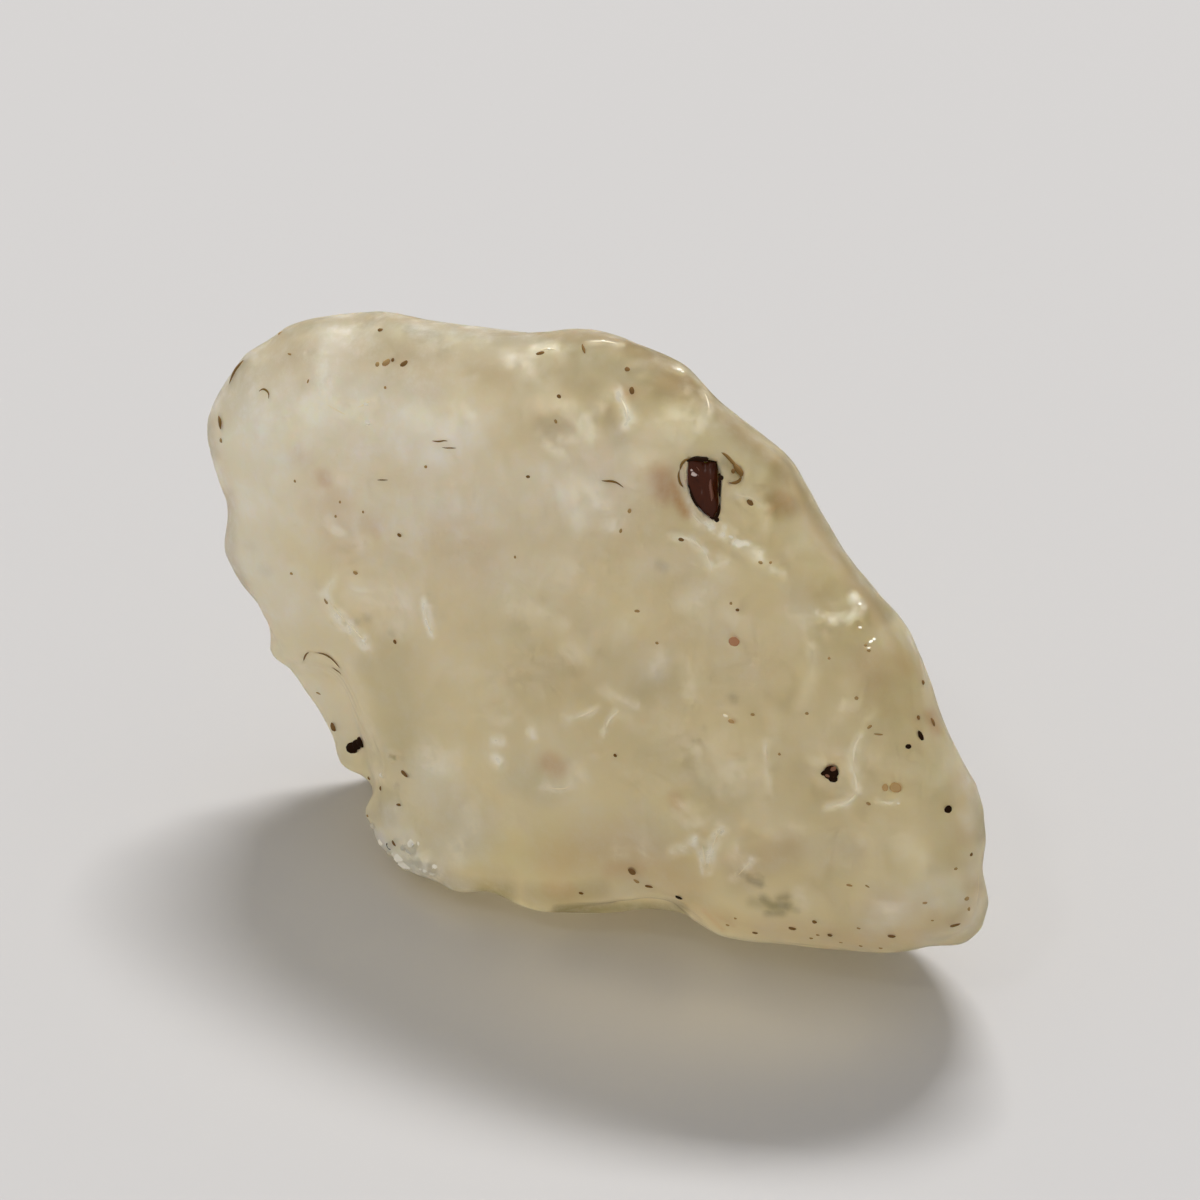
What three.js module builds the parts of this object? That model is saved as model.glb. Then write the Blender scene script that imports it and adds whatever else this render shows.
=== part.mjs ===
// Libyan desert glass: one natural piece of silica glass, worn smooth by wind-blown sand.
// Millimetres, +Z up. The stone stands on the feet of its long lower edge, on the plane Z = 0.
// The origin is the middle of its footprint box, at the height of the surface it stands on.

import * as THREE from "three";
import { mergeVertices } from "three/addons/utils/BufferGeometryUtils.js";

const { clamp, degToRad, lerp, smoothstep } = THREE.MathUtils;

// ---- Driving dimensions ---------------------------------------------------------------

const MESH_DETAIL = 19; // splits of each icosahedron edge: 20 * (detail + 1)^2 triangles
const BULGE_TILT = degToRad(35); // both faces bulge along a line this far above level
const LEAN = degToRad(15); // how far the outline's plane leans back from upright
const TURN = degToRad(28); // how far the right end of the stone is turned towards the front
const FORWARD = 0.5; // how far the outline's plane passes in front of the resting edge, mm
const TOE_LIFT = 0.6; // height of the lowest rim above the ground, before the toe is rounded
const TOE_BLEND = 4.5; // softness of the turn from the leaning outline into the toe, mm
const FRONT_CROWN = 8.0; // how far the front face may stand proud of the outline's plane
const BACK_CROWN = 13.5; // the same for the back face
const FACE_FLATNESS = 0.42; // 0.5 is an ellipsoid; less gives flatter faces, rounder rims
const RIM_FADE = 8; // how fast the lumps of the rim die out towards the middle of a face
const PLANE_BLEND = 1.4; // softness of the ridges between the planes of a face, mm
const HEART = [0, 13]; // middle of the outline, from which its radius is measured

// The outline of the stone, seen along its bulge, as (across, up) from the middle of its
// resting edge. It goes round clockwise from the blunt left end.
const OUTLINE = [
  [-18.1, 21.6], [-17.6, 23.8], [-16.4, 25.4], [-15.4, 26.1], [-14.3, 27.0],
  [-12.3, 27.4], [-9.8, 27.6], [-8.2, 27.2], [-5.9, 26.9], [-3.2, 26.6],
  [-0.9, 26.8], [0.6, 26.5], [2.2, 25.8], [3.9, 25.0], [5.2, 23.6],
  [6.9, 22.2], [8.4, 21.0], [9.4, 19.5], [10.6, 17.3], [12.3, 15.0],
  [13.9, 13.1], [14.9, 10.8], [15.7, 8.4], [16.9, 6.2], [17.5, 3.8],
  [17.3, 2.4], [17.6, 0.5], [17.3, -0.6], [16.4, -1.3], [14.8, -1.3],
  [13.0, -1.7], [10.9, -1.5], [7.7, -1.2], [5.3, -0.9], [4.1, 0.0],
  [0.9, 0.0], [-2.3, 0.0], [-3.6, 0.3], [-5.3, 1.1], [-6.6, 0.9],
  [-7.6, 1.5], [-9.1, 2.1], [-10.3, 3.2], [-10.7, 4.4], [-10.4, 6.0],
  [-11.6, 6.6], [-12.2, 7.8], [-12.8, 9.1], [-14.3, 11.3], [-15.1, 12.2],
  [-15.3, 13.6], [-16.4, 15.0], [-17.1, 16.2], [-17.1, 18.7], [-17.6, 20.0],
];

// Broad planes cut by wind: each passes "depth" mm off the outline's plane over the point
// "at", and comes nearer to it by "fall" mm per mm to the right and per mm up.
const FRONT_PLANES = [
  { at: [-9, 20], depth: 6.0, fall: [-0.1, 0.25] }, // upper left, facing up
  { at: [-7, 6], depth: 5.4, fall: [-0.3, -0.2] }, // lower left
  { at: [12, 9], depth: 6.0, fall: [0.4, 0.05] }, // right flank
  { at: [5, 20], depth: 5.4, fall: [0.2, 0.3] }, // upper right
];
const BACK_PLANES = [
  { at: [-4, 22], depth: 5.4, fall: [-0.05, 0.5] }, // back of the top
  { at: [-1, 9], depth: 11.8, fall: [0.02, 0.34] }, // middle of the back
  { at: [12, 8], depth: 7.2, fall: [0.55, 0.1] }, // back of the right flank
  { at: [-12, 16], depth: 5.6, fall: [-0.45, 0.1] }, // back of the blunt end
];

// Shallow bowls pressed into the faces: middle, radius and depth, in mm.
const FRONT_BOWLS = [
  { at: [-10.6, 14.2], radius: 3.0, depth: 0.5 },
  { at: [-1.2, 22.4], radius: 2.4, depth: 0.45 },
  { at: [2.4, 23.2], radius: 2.0, depth: 0.4 },
  { at: [7.4, 17.8], radius: 2.2, depth: 0.45 },
  { at: [11.0, 13.6], radius: 2.4, depth: 0.5 },
  { at: [5.0, 9.0], radius: 4.2, depth: 0.4 },
  { at: [11.6, 6.2], radius: 2.4, depth: 0.4 },
  { at: [-4.4, 8.0], radius: 2.8, depth: 0.35 },
  { at: [5.2, 2.6], radius: 2.6, depth: 0.5 },
];
const BACK_BOWLS = [
  { at: [-8, 20], radius: 4.5, depth: 0.8 },
  { at: [0, 15], radius: 5.0, depth: 0.9 },
  { at: [8, 15], radius: 3.6, depth: 0.7 },
  { at: [-9, 9], radius: 3.6, depth: 0.7 },
  { at: [13, 4], radius: 3.0, depth: 0.5 },
  { at: [4, 22], radius: 2.6, depth: 0.5 },
];

// Lines along which the front face steps back by "drop" mm, over "width" mm. The lower
// side is on the right of each line, going from its first point to its last.
const STEPS = [
  {
    // the thin ledge at the left, below the blunt end
    line: [[-14.4, 11.6], [-12.2, 11.7], [-11.4, 10.6], [-10.7, 8.8], [-10.1, 7.2], [-10.4, 5.7]],
    drop: 3.4,
    width: 0.5,
  },
  {
    // the arch in the lower edge, between the two front feet
    line: [[-2.6, 0.0], [-1.2, 0.6], [0.9, 0.8], [2.3, 1.15], [3.4, 0.9], [4.4, 0.1], [5.2, -0.8]],
    drop: 2.2,
    width: 0.35,
  },
  {
    // the second rim behind the lower right corner
    line: [[14.6, -1.5], [15.8, -0.9], [16.8, -0.1], [17.05, 1.0], [17.1, 2.4]],
    drop: 1.6,
    width: 0.3,
  },
];

// The underside is slightly hollow and comes down to the ground on flat-worn feet, given
// by their place (x, y) on the ground, with y = 0 under the resting edge.
const HOLLOW = 0.9; // height of the underside between the feet
const FOOT_BLEND = 0.7; // softness of the edge between the underside and the sides
const FEET = [
  { at: [-1.5, 3.2], flat: 1.8, reach: 4.5 },
  { at: [9.0, 0.4], flat: 2.2, reach: 5.0 },
  { at: [-7.0, 10.5], flat: 1.8, reach: 4.5 },
  { at: [3.0, 7.8], flat: 1.6, reach: 4.0 },
];

// ---- Helpers --------------------------------------------------------------------------

/** The smaller of two heights, with the crease between them rounded over "blend" mm. */
function softMin(a, b, blend) {
  const share = clamp(0.5 + (b - a) / (2 * blend), 0, 1);
  return lerp(b, a, share) - blend * share * (1 - share);
}

/** The larger of two heights, rounded in the same way. */
function softMax(a, b, blend) {
  return -softMin(-a, -b, blend);
}

/** Radius of a closed outline round HEART, as a function of the angle. */
function radiusByAngle(outline) {
  const rim = outline.map(([u, v]) => new THREE.Vector3(u - HEART[0], v - HEART[1], 0));
  const curve = new THREE.CatmullRomCurve3(rim, true, "centripetal");
  const samples = curve
    .getPoints(outline.length * 16)
    .map((p) => ({ angle: Math.atan2(p.y, p.x), radius: Math.hypot(p.x, p.y) }))
    .sort((a, b) => a.angle - b.angle);
  const first = samples[0];
  const last = samples[samples.length - 1];
  samples.unshift({ angle: last.angle - 2 * Math.PI, radius: last.radius });
  samples.push({ angle: first.angle + 2 * Math.PI, radius: first.radius });
  return (angle) => {
    let low = 0;
    let high = samples.length - 1;
    while (high - low > 1) {
      const middle = Math.floor((low + high) / 2);
      if (samples[middle].angle <= angle) low = middle;
      else high = middle;
    }
    const span = samples[high].angle - samples[low].angle || 1;
    const share = (angle - samples[low].angle) / span;
    return lerp(samples[low].radius, samples[high].radius, share);
  };
}

const rimRadius = radiusByAngle(OUTLINE);

/** The outline's radius with its lumps averaged away over 24 degrees to either side. */
function smoothRadius(angle) {
  const reach = degToRad(24);
  const steps = 12;
  let sum = 0;
  let weights = 0;
  for (let i = -steps; i <= steps; i += 1) {
    const weight = 1 - Math.abs(i) / (steps + 1);
    const at = angle + (reach * i) / steps;
    const turned = at - 2 * Math.PI * Math.round(at / (2 * Math.PI));
    sum += weight * rimRadius(turned);
    weights += weight;
  }
  return sum / weights;
}

/** Height of a face off the outline's plane: a crown cut by planes and pressed by bowls. */
function faceHeight(u, v, crown, planes, bowls, inner) {
  let height = crown;
  for (const { at, depth, fall } of planes) {
    const cut = depth - fall[0] * (u - at[0]) - fall[1] * (v - at[1]);
    height = softMin(height, Math.max(cut, 0.4), PLANE_BLEND);
  }
  for (const { at, radius, depth } of bowls) {
    const away = Math.hypot(u - at[0], v - at[1]) / radius;
    if (away < 1) height -= depth * inner * (1 - away * away) ** 2;
  }
  return Math.min(height, crown);
}

/** How far the front face steps back at a point, for one line of STEPS. */
function stepBack({ line, drop, width }, u, v) {
  let nearest = Infinity;
  let beyond = 0;
  for (let i = 0; i < line.length - 1; i += 1) {
    const [startU, startV] = line[i];
    const [alongU, alongV] = [line[i + 1][0] - startU, line[i + 1][1] - startV];
    const length = Math.hypot(alongU, alongV);
    const share = ((u - startU) * alongU + (v - startV) * alongV) / length ** 2;
    const held = clamp(share, 0, 1);
    const away = Math.hypot(u - startU - held * alongU, v - startV - held * alongV);
    if (away >= nearest) continue;
    nearest = away;
    const right = (u - startU) * alongV - (v - startV) * alongU;
    beyond = right > 0 && share > -0.2 && share < 1.2 ? away : 0;
  }
  return drop * smoothstep(beyond, 0, width) * (1 - smoothstep(nearest, 3, 4));
}

/** Height of the hollow underside over a place on the ground: 0 on the feet. */
function undersideHeight(x, y) {
  let height = HOLLOW;
  for (const { at, flat, reach } of FEET) {
    const away = Math.hypot(x - at[0], y - at[1]);
    height = Math.min(height, HOLLOW * smoothstep(away, flat, reach));
  }
  return height;
}

// ---- The stone ------------------------------------------------------------------------

/** Moves a point of the unit sphere to its place on the stone, +Z towards the front. */
function shapePoint(point) {
  const angle = Math.atan2(point.y, point.x);
  const ring = Math.min(1, Math.hypot(point.x, point.y));
  const soft = smoothRadius(angle);
  const radius = ring * lerp(soft, rimRadius(angle), ring ** RIM_FADE);
  const u = HEART[0] + Math.cos(angle) * radius;
  const v = HEART[1] + Math.sin(angle) * radius;

  const swell = Math.max(0, 1 - ring * ring) ** FACE_FLATNESS;
  const inner = 1 - ring ** 8;
  const lean = FORWARD + v * Math.tan(BULGE_TILT - LEAN) + u * Math.tan(TURN);
  const toe = (TOE_LIFT - v * Math.cos(BULGE_TILT)) / Math.sin(BULGE_TILT);
  let bulge = softMax(lean, toe, TOE_BLEND);
  if (point.z >= 0) {
    const height = faceHeight(u, v, FRONT_CROWN * swell, FRONT_PLANES, FRONT_BOWLS, inner);
    const steps = STEPS.reduce((sum, step) => sum + stepBack(step, u, v), 0);
    bulge += height - Math.min(steps, 0.8 * height);
  } else {
    bulge -= faceHeight(u, v, BACK_CROWN * swell, BACK_PLANES, BACK_BOWLS, inner);
  }
  const y = v * Math.sin(BULGE_TILT) - bulge * Math.cos(BULGE_TILT);
  const z = v * Math.cos(BULGE_TILT) + bulge * Math.sin(BULGE_TILT);
  return new THREE.Vector3(u, y, softMax(z, undersideHeight(u, y), FOOT_BLEND));
}

/** The whole stone as one closed surface, set on Z = 0 over the origin. */
function stoneGeometry() {
  const sphere = new THREE.IcosahedronGeometry(1, MESH_DETAIL);
  sphere.deleteAttribute("normal");
  sphere.deleteAttribute("uv");
  const geometry = mergeVertices(sphere, 1e-5);
  const position = geometry.getAttribute("position");
  const point = new THREE.Vector3();
  for (let i = 0; i < position.count; i += 1) {
    point.fromBufferAttribute(position, i).normalize();
    point.copy(shapePoint(point));
    position.setXYZ(i, point.x, point.y, point.z);
  }
  geometry.computeBoundingBox();
  const { min, max } = geometry.boundingBox;
  geometry.translate(-(min.x + max.x) / 2, -(min.y + max.y) / 2, -min.z);
  geometry.computeVertexNormals();
  return geometry;
}

const desertGlass = new THREE.MeshStandardMaterial({
  color: 0xc9bd92,
  roughness: 0.35,
  metalness: 0,
});

const stone = new THREE.Mesh(stoneGeometry(), desertGlass);
stone.name = "glass";

const part = new THREE.Group();
part.add(stone);

export default part;
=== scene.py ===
# %% [markdown]
# # Libyan desert glass
# A natural stone of pale yellow silica glass, about 36 mm wide. Blown sand has worn it to a
# satin surface full of soft dimples. It stands on its long lower edge on a pale table.
# Everything is in metres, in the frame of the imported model.

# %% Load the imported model
import math

import bpy
import numpy as np
from mathutils import Matrix, Vector
from mathutils.bvhtree import BVHTree


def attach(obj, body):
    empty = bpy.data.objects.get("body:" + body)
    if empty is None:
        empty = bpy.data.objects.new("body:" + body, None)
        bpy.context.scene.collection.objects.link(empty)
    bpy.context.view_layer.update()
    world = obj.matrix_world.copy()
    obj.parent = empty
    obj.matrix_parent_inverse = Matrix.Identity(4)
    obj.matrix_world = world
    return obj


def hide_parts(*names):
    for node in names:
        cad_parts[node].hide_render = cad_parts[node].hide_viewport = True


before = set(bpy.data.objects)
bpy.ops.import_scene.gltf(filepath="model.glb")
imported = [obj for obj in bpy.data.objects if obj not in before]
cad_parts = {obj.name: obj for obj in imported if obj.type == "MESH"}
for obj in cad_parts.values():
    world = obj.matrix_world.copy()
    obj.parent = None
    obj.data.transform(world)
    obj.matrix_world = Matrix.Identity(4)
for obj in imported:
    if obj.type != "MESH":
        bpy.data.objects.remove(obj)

bpy.context.view_layer.update()
MM = 0.001


def srgb(code):
    """A colour written as an sRGB hex value, turned to the linear values that shaders use."""
    values = [int(code[i : i + 2], 16) / 255 for i in (0, 2, 4)]
    linear = [v / 12.92 if v <= 0.04045 else ((v + 0.055) / 1.055) ** 2.4 for v in values]
    return (*linear, 1.0)


def add_node(tree, kind, at, settings=None, **inputs):
    """Adds a shader node, sets its options, and sets or links its inputs by name."""
    node = tree.nodes.new(kind)
    node.location = at
    for name, value in (settings or {}).items():
        setattr(node, name, value)
    for name, value in inputs.items():
        key = int(name[1:]) if name[0] == "i" and name[1:].isdigit() else name.replace("_", " ")
        if isinstance(value, bpy.types.NodeSocket):
            tree.links.new(value, node.inputs[key])
        else:
            node.inputs[key].default_value = value
    return node


# %% [markdown]
# ## Camera
# The stone is looked down on at 35 degrees from in front of its flat face. A long lens from
# far off keeps its outline free of perspective. The camera comes first because the marks on
# the front face are placed by where they are seen on it.

# %% Camera
VIEW_ELEVATION = math.radians(35)
VIEW_CENTRE = Vector((0.21, -1.5, 16.6)) * MM
VIEW_WIDTH = 54.5 * MM
VIEW_DISTANCE = 900 * MM
SENSOR_WIDTH = 36

toward_camera = Vector((0, -math.cos(VIEW_ELEVATION), math.sin(VIEW_ELEVATION)))
view_up = Vector((0, math.sin(VIEW_ELEVATION), math.cos(VIEW_ELEVATION)))
camera_at = VIEW_CENTRE + toward_camera * VIEW_DISTANCE
bpy.ops.object.camera_add(
    location=camera_at, rotation=(math.radians(90) - VIEW_ELEVATION, 0, 0)
)
camera = bpy.context.object
camera.name = "camera"
camera.data.sensor_width = SENSOR_WIDTH
camera.data.lens = SENSOR_WIDTH * VIEW_DISTANCE / VIEW_WIDTH
camera.data.clip_start = 0.01
camera.data.clip_end = 10
bpy.context.scene.camera = camera
print("lens, mm:", round(camera.data.lens, 1))

# %% [markdown]
# ## The stone's own shape
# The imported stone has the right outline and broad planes, but its facets are nearly a
# millimetre long. Real desert glass is soft to the eye. So a copy is merged to one skin and
# remeshed into even squares, which proportional editing can push and pull like clay.

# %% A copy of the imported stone, as one even skin
bpy.ops.object.select_all(action="DESELECT")
stone_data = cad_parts["glass"].data.copy()
stone = bpy.data.objects.new("desert_glass_stone", stone_data)
bpy.context.collection.objects.link(stone)
bpy.context.view_layer.objects.active = stone
stone.select_set(True)
bpy.ops.object.mode_set(mode="EDIT")
bpy.ops.mesh.select_all(action="SELECT")
bpy.ops.mesh.remove_doubles(threshold=1e-6)
bpy.ops.object.mode_set(mode="OBJECT")


def apply_modifier(piece, name, kind, **settings):
    """Adds a modifier with its settings and applies it at once."""
    bpy.context.view_layer.objects.active = piece
    modifier = piece.modifiers.new(name, kind)
    for key, value in settings.items():
        setattr(modifier, key, value)
    bpy.ops.object.modifier_apply(modifier=modifier.name)


apply_modifier(stone, "even skin", "REMESH", mode="VOXEL", voxel_size=0.33 * MM)
apply_modifier(stone, "soften facets", "SMOOTH", factor=0.5, iterations=3)
print("points to sculpt with:", len(stone.data.vertices))

# %% [markdown]
# ## Dimples and ridges
# Sand wears glass into shallow bowls a few millimetres across, with soft ridges between.
# Each is made as a sculptor would: one point is picked up and moved along its normal, and
# proportional editing carries its neighbours with it in a smooth bell.


# %% Pushing and pulling the skin
def skin_tree(piece):
    """A search tree of a piece's faces, for finding the points that are seen."""
    mesh = piece.data
    return BVHTree.FromPolygons(
        [v.co for v in mesh.vertices], [p.vertices for p in mesh.polygons]
    )


def seen_point(tree, across, up):
    """The point and normal seen "across" and "up" mm from the middle of the view.

    A place just past the outline is drawn in to the outline.
    """
    for inward in (1, 0.99, 0.98, 0.97, 0.96, 0.95):
        aside = Vector((across * inward * MM, 0, 0))
        target = VIEW_CENTRE + aside + view_up * (up * inward * MM)
        point, normal, _, _ = tree.ray_cast(camera_at, (target - camera_at).normalized())
        if point is not None:
            return point, normal
    raise ValueError(f"the stone is not seen at {across}, {up}")


def push(piece, moves):
    """Moves the skin at each (point, move, radius), in metres, in a smooth bell."""
    mesh = piece.data
    bpy.context.view_layer.objects.active = piece
    for point, move, radius in moves:
        nearest = min(mesh.vertices, key=lambda v: (v.co - point).length_squared).index
        for part in (mesh.vertices, mesh.edges, mesh.polygons):
            part.foreach_set("select", [False] * len(part))
        mesh.vertices[nearest].select = True
        bpy.ops.object.mode_set(mode="EDIT")
        bpy.ops.transform.translate(
            value=move, use_proportional_edit=True, proportional_size=radius
        )
        bpy.ops.object.mode_set(mode="OBJECT")


def sculpt_seen(piece, relief):
    """Presses in the bowls and raises the ridges of a list, placed by where they are seen."""
    tree = skin_tree(piece)
    moves = []
    for across, up, radius, height in relief:
        point, normal = seen_point(tree, across, up)
        moves.append((point, normal * height * MM, radius * MM))
    push(piece, moves)


# %% Bowls and ridges on the front
# Each row: across, up, radius, height, in mm. A bowl's height is negative.
FRONT_RELIEF = [
    # upper left: one pale plane under a bevelled top edge
    (-12.3, 8.6, 2.6, -0.28), (-10.4, 8.0, 1.8, -0.25), (-7.5, 8.2, 2.0, -0.22),
    (-15.5, 8.0, 2.0, 0.25), (-12.4, 5.4, 2.2, -0.22), (-15.6, 4.0, 2.2, -0.22),
    (-9.8, 4.0, 2.0, 0.22),
    # left: the bowl with white lips, and the hollow beside it
    (-10.2, -0.1, 2.5, -0.55), (-12.6, 0.2, 1.1, 0.25), (-7.6, -0.6, 1.1, 0.28),
    (-14.0, 1.6, 2.0, -0.25), (-15.2, -0.4, 1.6, 0.20),
    # top middle: small bright dimples
    (-2.2, 10.6, 1.7, -0.40), (1.0, 10.8, 1.6, -0.34), (-2.3, 8.2, 1.5, -0.34),
    (-0.6, 8.4, 0.9, 0.22), (0.2, 8.7, 1.3, -0.34), (1.6, 8.6, 0.8, 0.26),
    (3.6, 8.4, 1.6, -0.34), (2.2, 6.0, 1.5, -0.22), (-1.2, 5.0, 1.8, -0.26),
    (-4.8, 9.2, 1.6, -0.20), (-4.9, 6.8, 1.8, 0.16),
    # round the cavity and down the upper right edge
    (7.9, 6.2, 1.5, 0.25), (7.6, 4.0, 1.3, -0.30), (5.6, 3.0, 1.2, -0.26),
    (6.0, 1.9, 1.0, 0.22), (8.6, 2.0, 1.0, 0.22), (9.6, 3.6, 1.4, -0.24),
    (10.2, 0.6, 2.0, -0.55), (12.0, -0.4, 0.9, 0.26), (10.9, -1.2, 0.9, 0.22),
    (12.6, -2.2, 1.6, -0.24), (13.6, -4.4, 1.8, -0.24), (12.0, -3.6, 1.2, 0.16),
    # middle: wide shallow bowls with fine rims
    (2.3, -2.3, 2.3, -0.36), (7.2, -2.7, 2.8, -0.42), (9.7, -2.8, 0.9, 0.20),
    (4.6, -6.4, 3.0, -0.42), (7.6, -7.6, 0.9, 0.22), (3.4, -8.2, 1.4, 0.24),
    (-1.3, 0.4, 2.2, -0.22), (-3.8, -0.6, 1.2, -0.20), (-5.0, 2.4, 2.2, -0.22),
    (-1.3, -2.6, 1.2, -0.20), (-4.6, -3.6, 2.4, -0.26), (-8.0, -3.8, 2.0, -0.24),
    (0.4, -5.2, 1.2, -0.28), (-1.2, -5.2, 0.9, 0.20), (-1.8, -7.6, 1.0, -0.30),
    (-4.6, -6.6, 1.0, -0.22), (-7.3, -7.0, 1.8, -0.26), (-9.4, -7.0, 1.0, -0.24),
    (-5.8, -9.0, 1.4, -0.24), (-6.4, -11.3, 1.0, -0.28), (-3.9, -10.2, 1.3, -0.22),
    (-9.4, -9.6, 1.4, 0.22), (-8.0, -12.0, 1.0, 0.24), (-9.6, -11.8, 0.7, -0.20),
    # lower right: bowls behind bright creases
    (10.2, -7.8, 1.8, -0.42), (11.8, -7.6, 0.7, 0.24), (13.4, -8.2, 1.4, -0.30),
    (5.4, -10.8, 1.2, -0.30), (7.2, -11.0, 1.2, -0.28), (4.4, -11.2, 0.8, 0.22),
    (6.3, -11.4, 0.6, 0.20), (11.2, -11.4, 1.6, -0.36), (14.2, -11.6, 1.8, -0.28),
    (12.8, -13.6, 1.4, 0.18), (9.2, -13.8, 1.2, -0.22), (16.0, -9.4, 1.2, -0.22),
    (15.6, -13.6, 1.1, -0.22), (1.2, -11.4, 1.0, -0.24), (-1.2, -12.0, 1.6, 0.20),
    (1.8, -8.8, 1.4, -0.22), (8.4, -5.2, 1.2, 0.14),
    # the outline: swells on the left, a slight waist on the right, and a notch below
    (-16.2, 10.9, 1.7, 0.22), (-17.5, 7.9, 2.0, 0.28), (-16.9, 2.6, 1.9, 0.34),
    (-15.6, 0.0, 0.8, -0.12), (-14.8, -2.4, 1.2, 0.36), (-12.0, -7.4, 1.2, 0.25),
    (-10.3, -9.7, 1.0, 0.42),
    (10.4, 2.7, 1.3, -0.24), (13.2, -0.9, 1.7, -0.22), (15.2, -4.8, 2.2, -0.16),
    (1.8, -13.9, 1.8, -0.60), (3.3, -14.1, 1.2, -0.30),
]
sculpt_seen(stone, FRONT_RELIEF)
print("bowls and ridges on the front:", len(FRONT_RELIEF))

# %% [markdown]
# The back, the top and the two ends are worn in the same way. Their bowls are spread over them:
# each is aimed at from outside, along a line to the middle of the stone.

# %% Bowls on the back, the top and the ends
# Each row: heading in degrees (90 is straight behind), height aimed at, radius, height in mm
BACK_RELIEF = [
    (92, 20, 3.0, -0.60), (70, 16, 2.6, -0.55), (112, 15, 2.8, -0.55), (84, 9, 3.0, -0.65),
    (56, 9, 2.4, -0.50), (128, 21, 2.6, -0.50), (140, 14, 2.4, -0.50), (104, 25, 2.4, -0.45),
    (72, 24, 2.2, -0.45), (44, 14, 2.2, -0.45), (30, 6, 2.0, -0.45), (20, 11, 1.8, -0.40),
    (150, 24, 2.0, -0.40), (162, 19, 2.0, -0.40), (100, 4, 2.0, -0.40), (66, 4, 2.0, -0.40),
    (78, 13, 1.4, 0.35), (98, 12, 1.3, 0.35), (118, 19, 1.3, 0.30), (60, 13, 1.2, 0.30),
    (88, 16, 1.1, 0.25), (132, 17, 1.2, 0.30), (46, 7, 1.1, 0.25), (172, 24, 1.4, -0.30),
    (186, 21, 1.4, -0.30), (352, 6, 1.4, -0.30), (5, 4, 1.4, -0.30), (80, 19, 0.9, -0.25),
    (108, 9, 1.6, -0.40), (122, 10, 1.4, 0.25), (52, 18, 1.6, -0.35), (36, 18, 1.4, 0.25),
]
MIDDLE = Vector((0.4, 0.6, 14)) * MM
FAR = 60  # mm, well outside the stone
AIM_SLOPE = 0.15  # how steeply the lines come down to the stone
tree = skin_tree(stone)
moves = []
for heading, aimed, radius, height in BACK_RELIEF:
    angle = math.radians(heading)
    target = Vector((MIDDLE.x, MIDDLE.y, aimed * MM))
    outside = target + Vector((math.cos(angle), math.sin(angle), AIM_SLOPE)) * FAR * MM
    point, normal, _, _ = tree.ray_cast(outside, (target - outside).normalized())
    if point is None:
        print("missed the stone at heading", heading, "height", aimed)
        continue
    moves.append((point, normal * height * MM, radius * MM))
push(stone, moves)
print("bowls and ridges behind:", len(moves))

# %% [markdown]
# A finer remesh then gives points close enough for the small waves that sand leaves: swells
# about 2 mm apart and a faint orange peel under 1 mm. What would dip under the table is
# brought back up to it.

# %% Fine skin
apply_modifier(stone, "fine skin", "REMESH", mode="VOXEL", voxel_size=0.195 * MM)
apply_modifier(stone, "soften steps", "SMOOTH", factor=0.5, iterations=5)
swells = bpy.data.textures.new("sand-worn swells", "CLOUDS")
swells.noise_scale = 2.4 * MM
swells.noise_depth = 1
peel = bpy.data.textures.new("orange peel", "CLOUDS")
peel.noise_scale = 0.8 * MM
peel.noise_depth = 1
for name, texture, depth in (("swells", swells, 0.16), ("peel", peel, 0.035)):
    apply_modifier(
        stone, name, "DISPLACE",
        texture=texture, texture_coords="GLOBAL", strength=depth * MM, mid_level=0.5,
    )
bpy.ops.object.select_all(action="DESELECT")
stone.select_set(True)
bpy.ops.object.shade_smooth()
for vertex in stone.data.vertices:
    vertex.co.z = max(vertex.co.z, 0)
print("triangles in the fine skin:", 2 * len(stone.data.polygons))

# %% [markdown]
# ## The cavity
# High on the right a pit runs into the glass. It is cut with a tapered block whose mouth has
# the outline of the pit, and later filled with a shining red-brown grain.

# %% Cutting the cavity
CAVITY_MOUTH = [
    (3.9, 6.52), (4.6, 6.42), (5.34, 6.38), (5.4, 5.3), (5.42, 4.55), (5.38, 3.95),
    (5.12, 3.45), (4.68, 3.84), (4.18, 4.4), (3.87, 5.15), (3.87, 5.95),
]
MOUTH_MIDDLE = Vector((4.8, 5.1))
TAPER = 0.93
BLOCK_STEPS = 5
mouth_at, _ = seen_point(skin_tree(stone), 4.8, 5.2)


def cavity_block(name, rise, depth, mouth_scale):
    """A tapered block on the line of sight, from "rise" above the skin to "depth" below."""
    bpy.ops.object.select_all(action="DESELECT")
    bpy.ops.mesh.primitive_circle_add(vertices=len(CAVITY_MOUTH), radius=MM, fill_type="NGON")
    block = bpy.context.object
    block.name = name
    for vertex, place in zip(block.data.vertices, CAVITY_MOUTH):
        across, up = MOUTH_MIDDLE + (Vector(place) - MOUTH_MIDDLE) * mouth_scale
        seen = VIEW_CENTRE + Vector((across * MM, 0, 0)) + view_up * (up * MM)
        reach = (mouth_at - seen).dot(toward_camera) + rise * MM
        vertex.co = seen + toward_camera * reach
    bpy.ops.object.mode_set(mode="EDIT")
    bpy.ops.mesh.select_all(action="SELECT")
    for step in range(BLOCK_STEPS):
        inward = toward_camera * (-(rise + depth) * MM / BLOCK_STEPS)
        bpy.ops.mesh.extrude_region_move(TRANSFORM_OT_translate={"value": inward})
        bpy.ops.transform.resize(value=(TAPER ** (step / 2),) * 3)
    bpy.ops.mesh.select_all(action="SELECT")
    bpy.ops.mesh.normals_make_consistent(inside=False)
    bpy.ops.object.mode_set(mode="OBJECT")
    apply_modifier(block, "divide", "SUBSURF", subdivision_type="SIMPLE", levels=3)
    apply_modifier(block, "round edges", "SMOOTH", factor=0.5, iterations=1)
    return block


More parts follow.
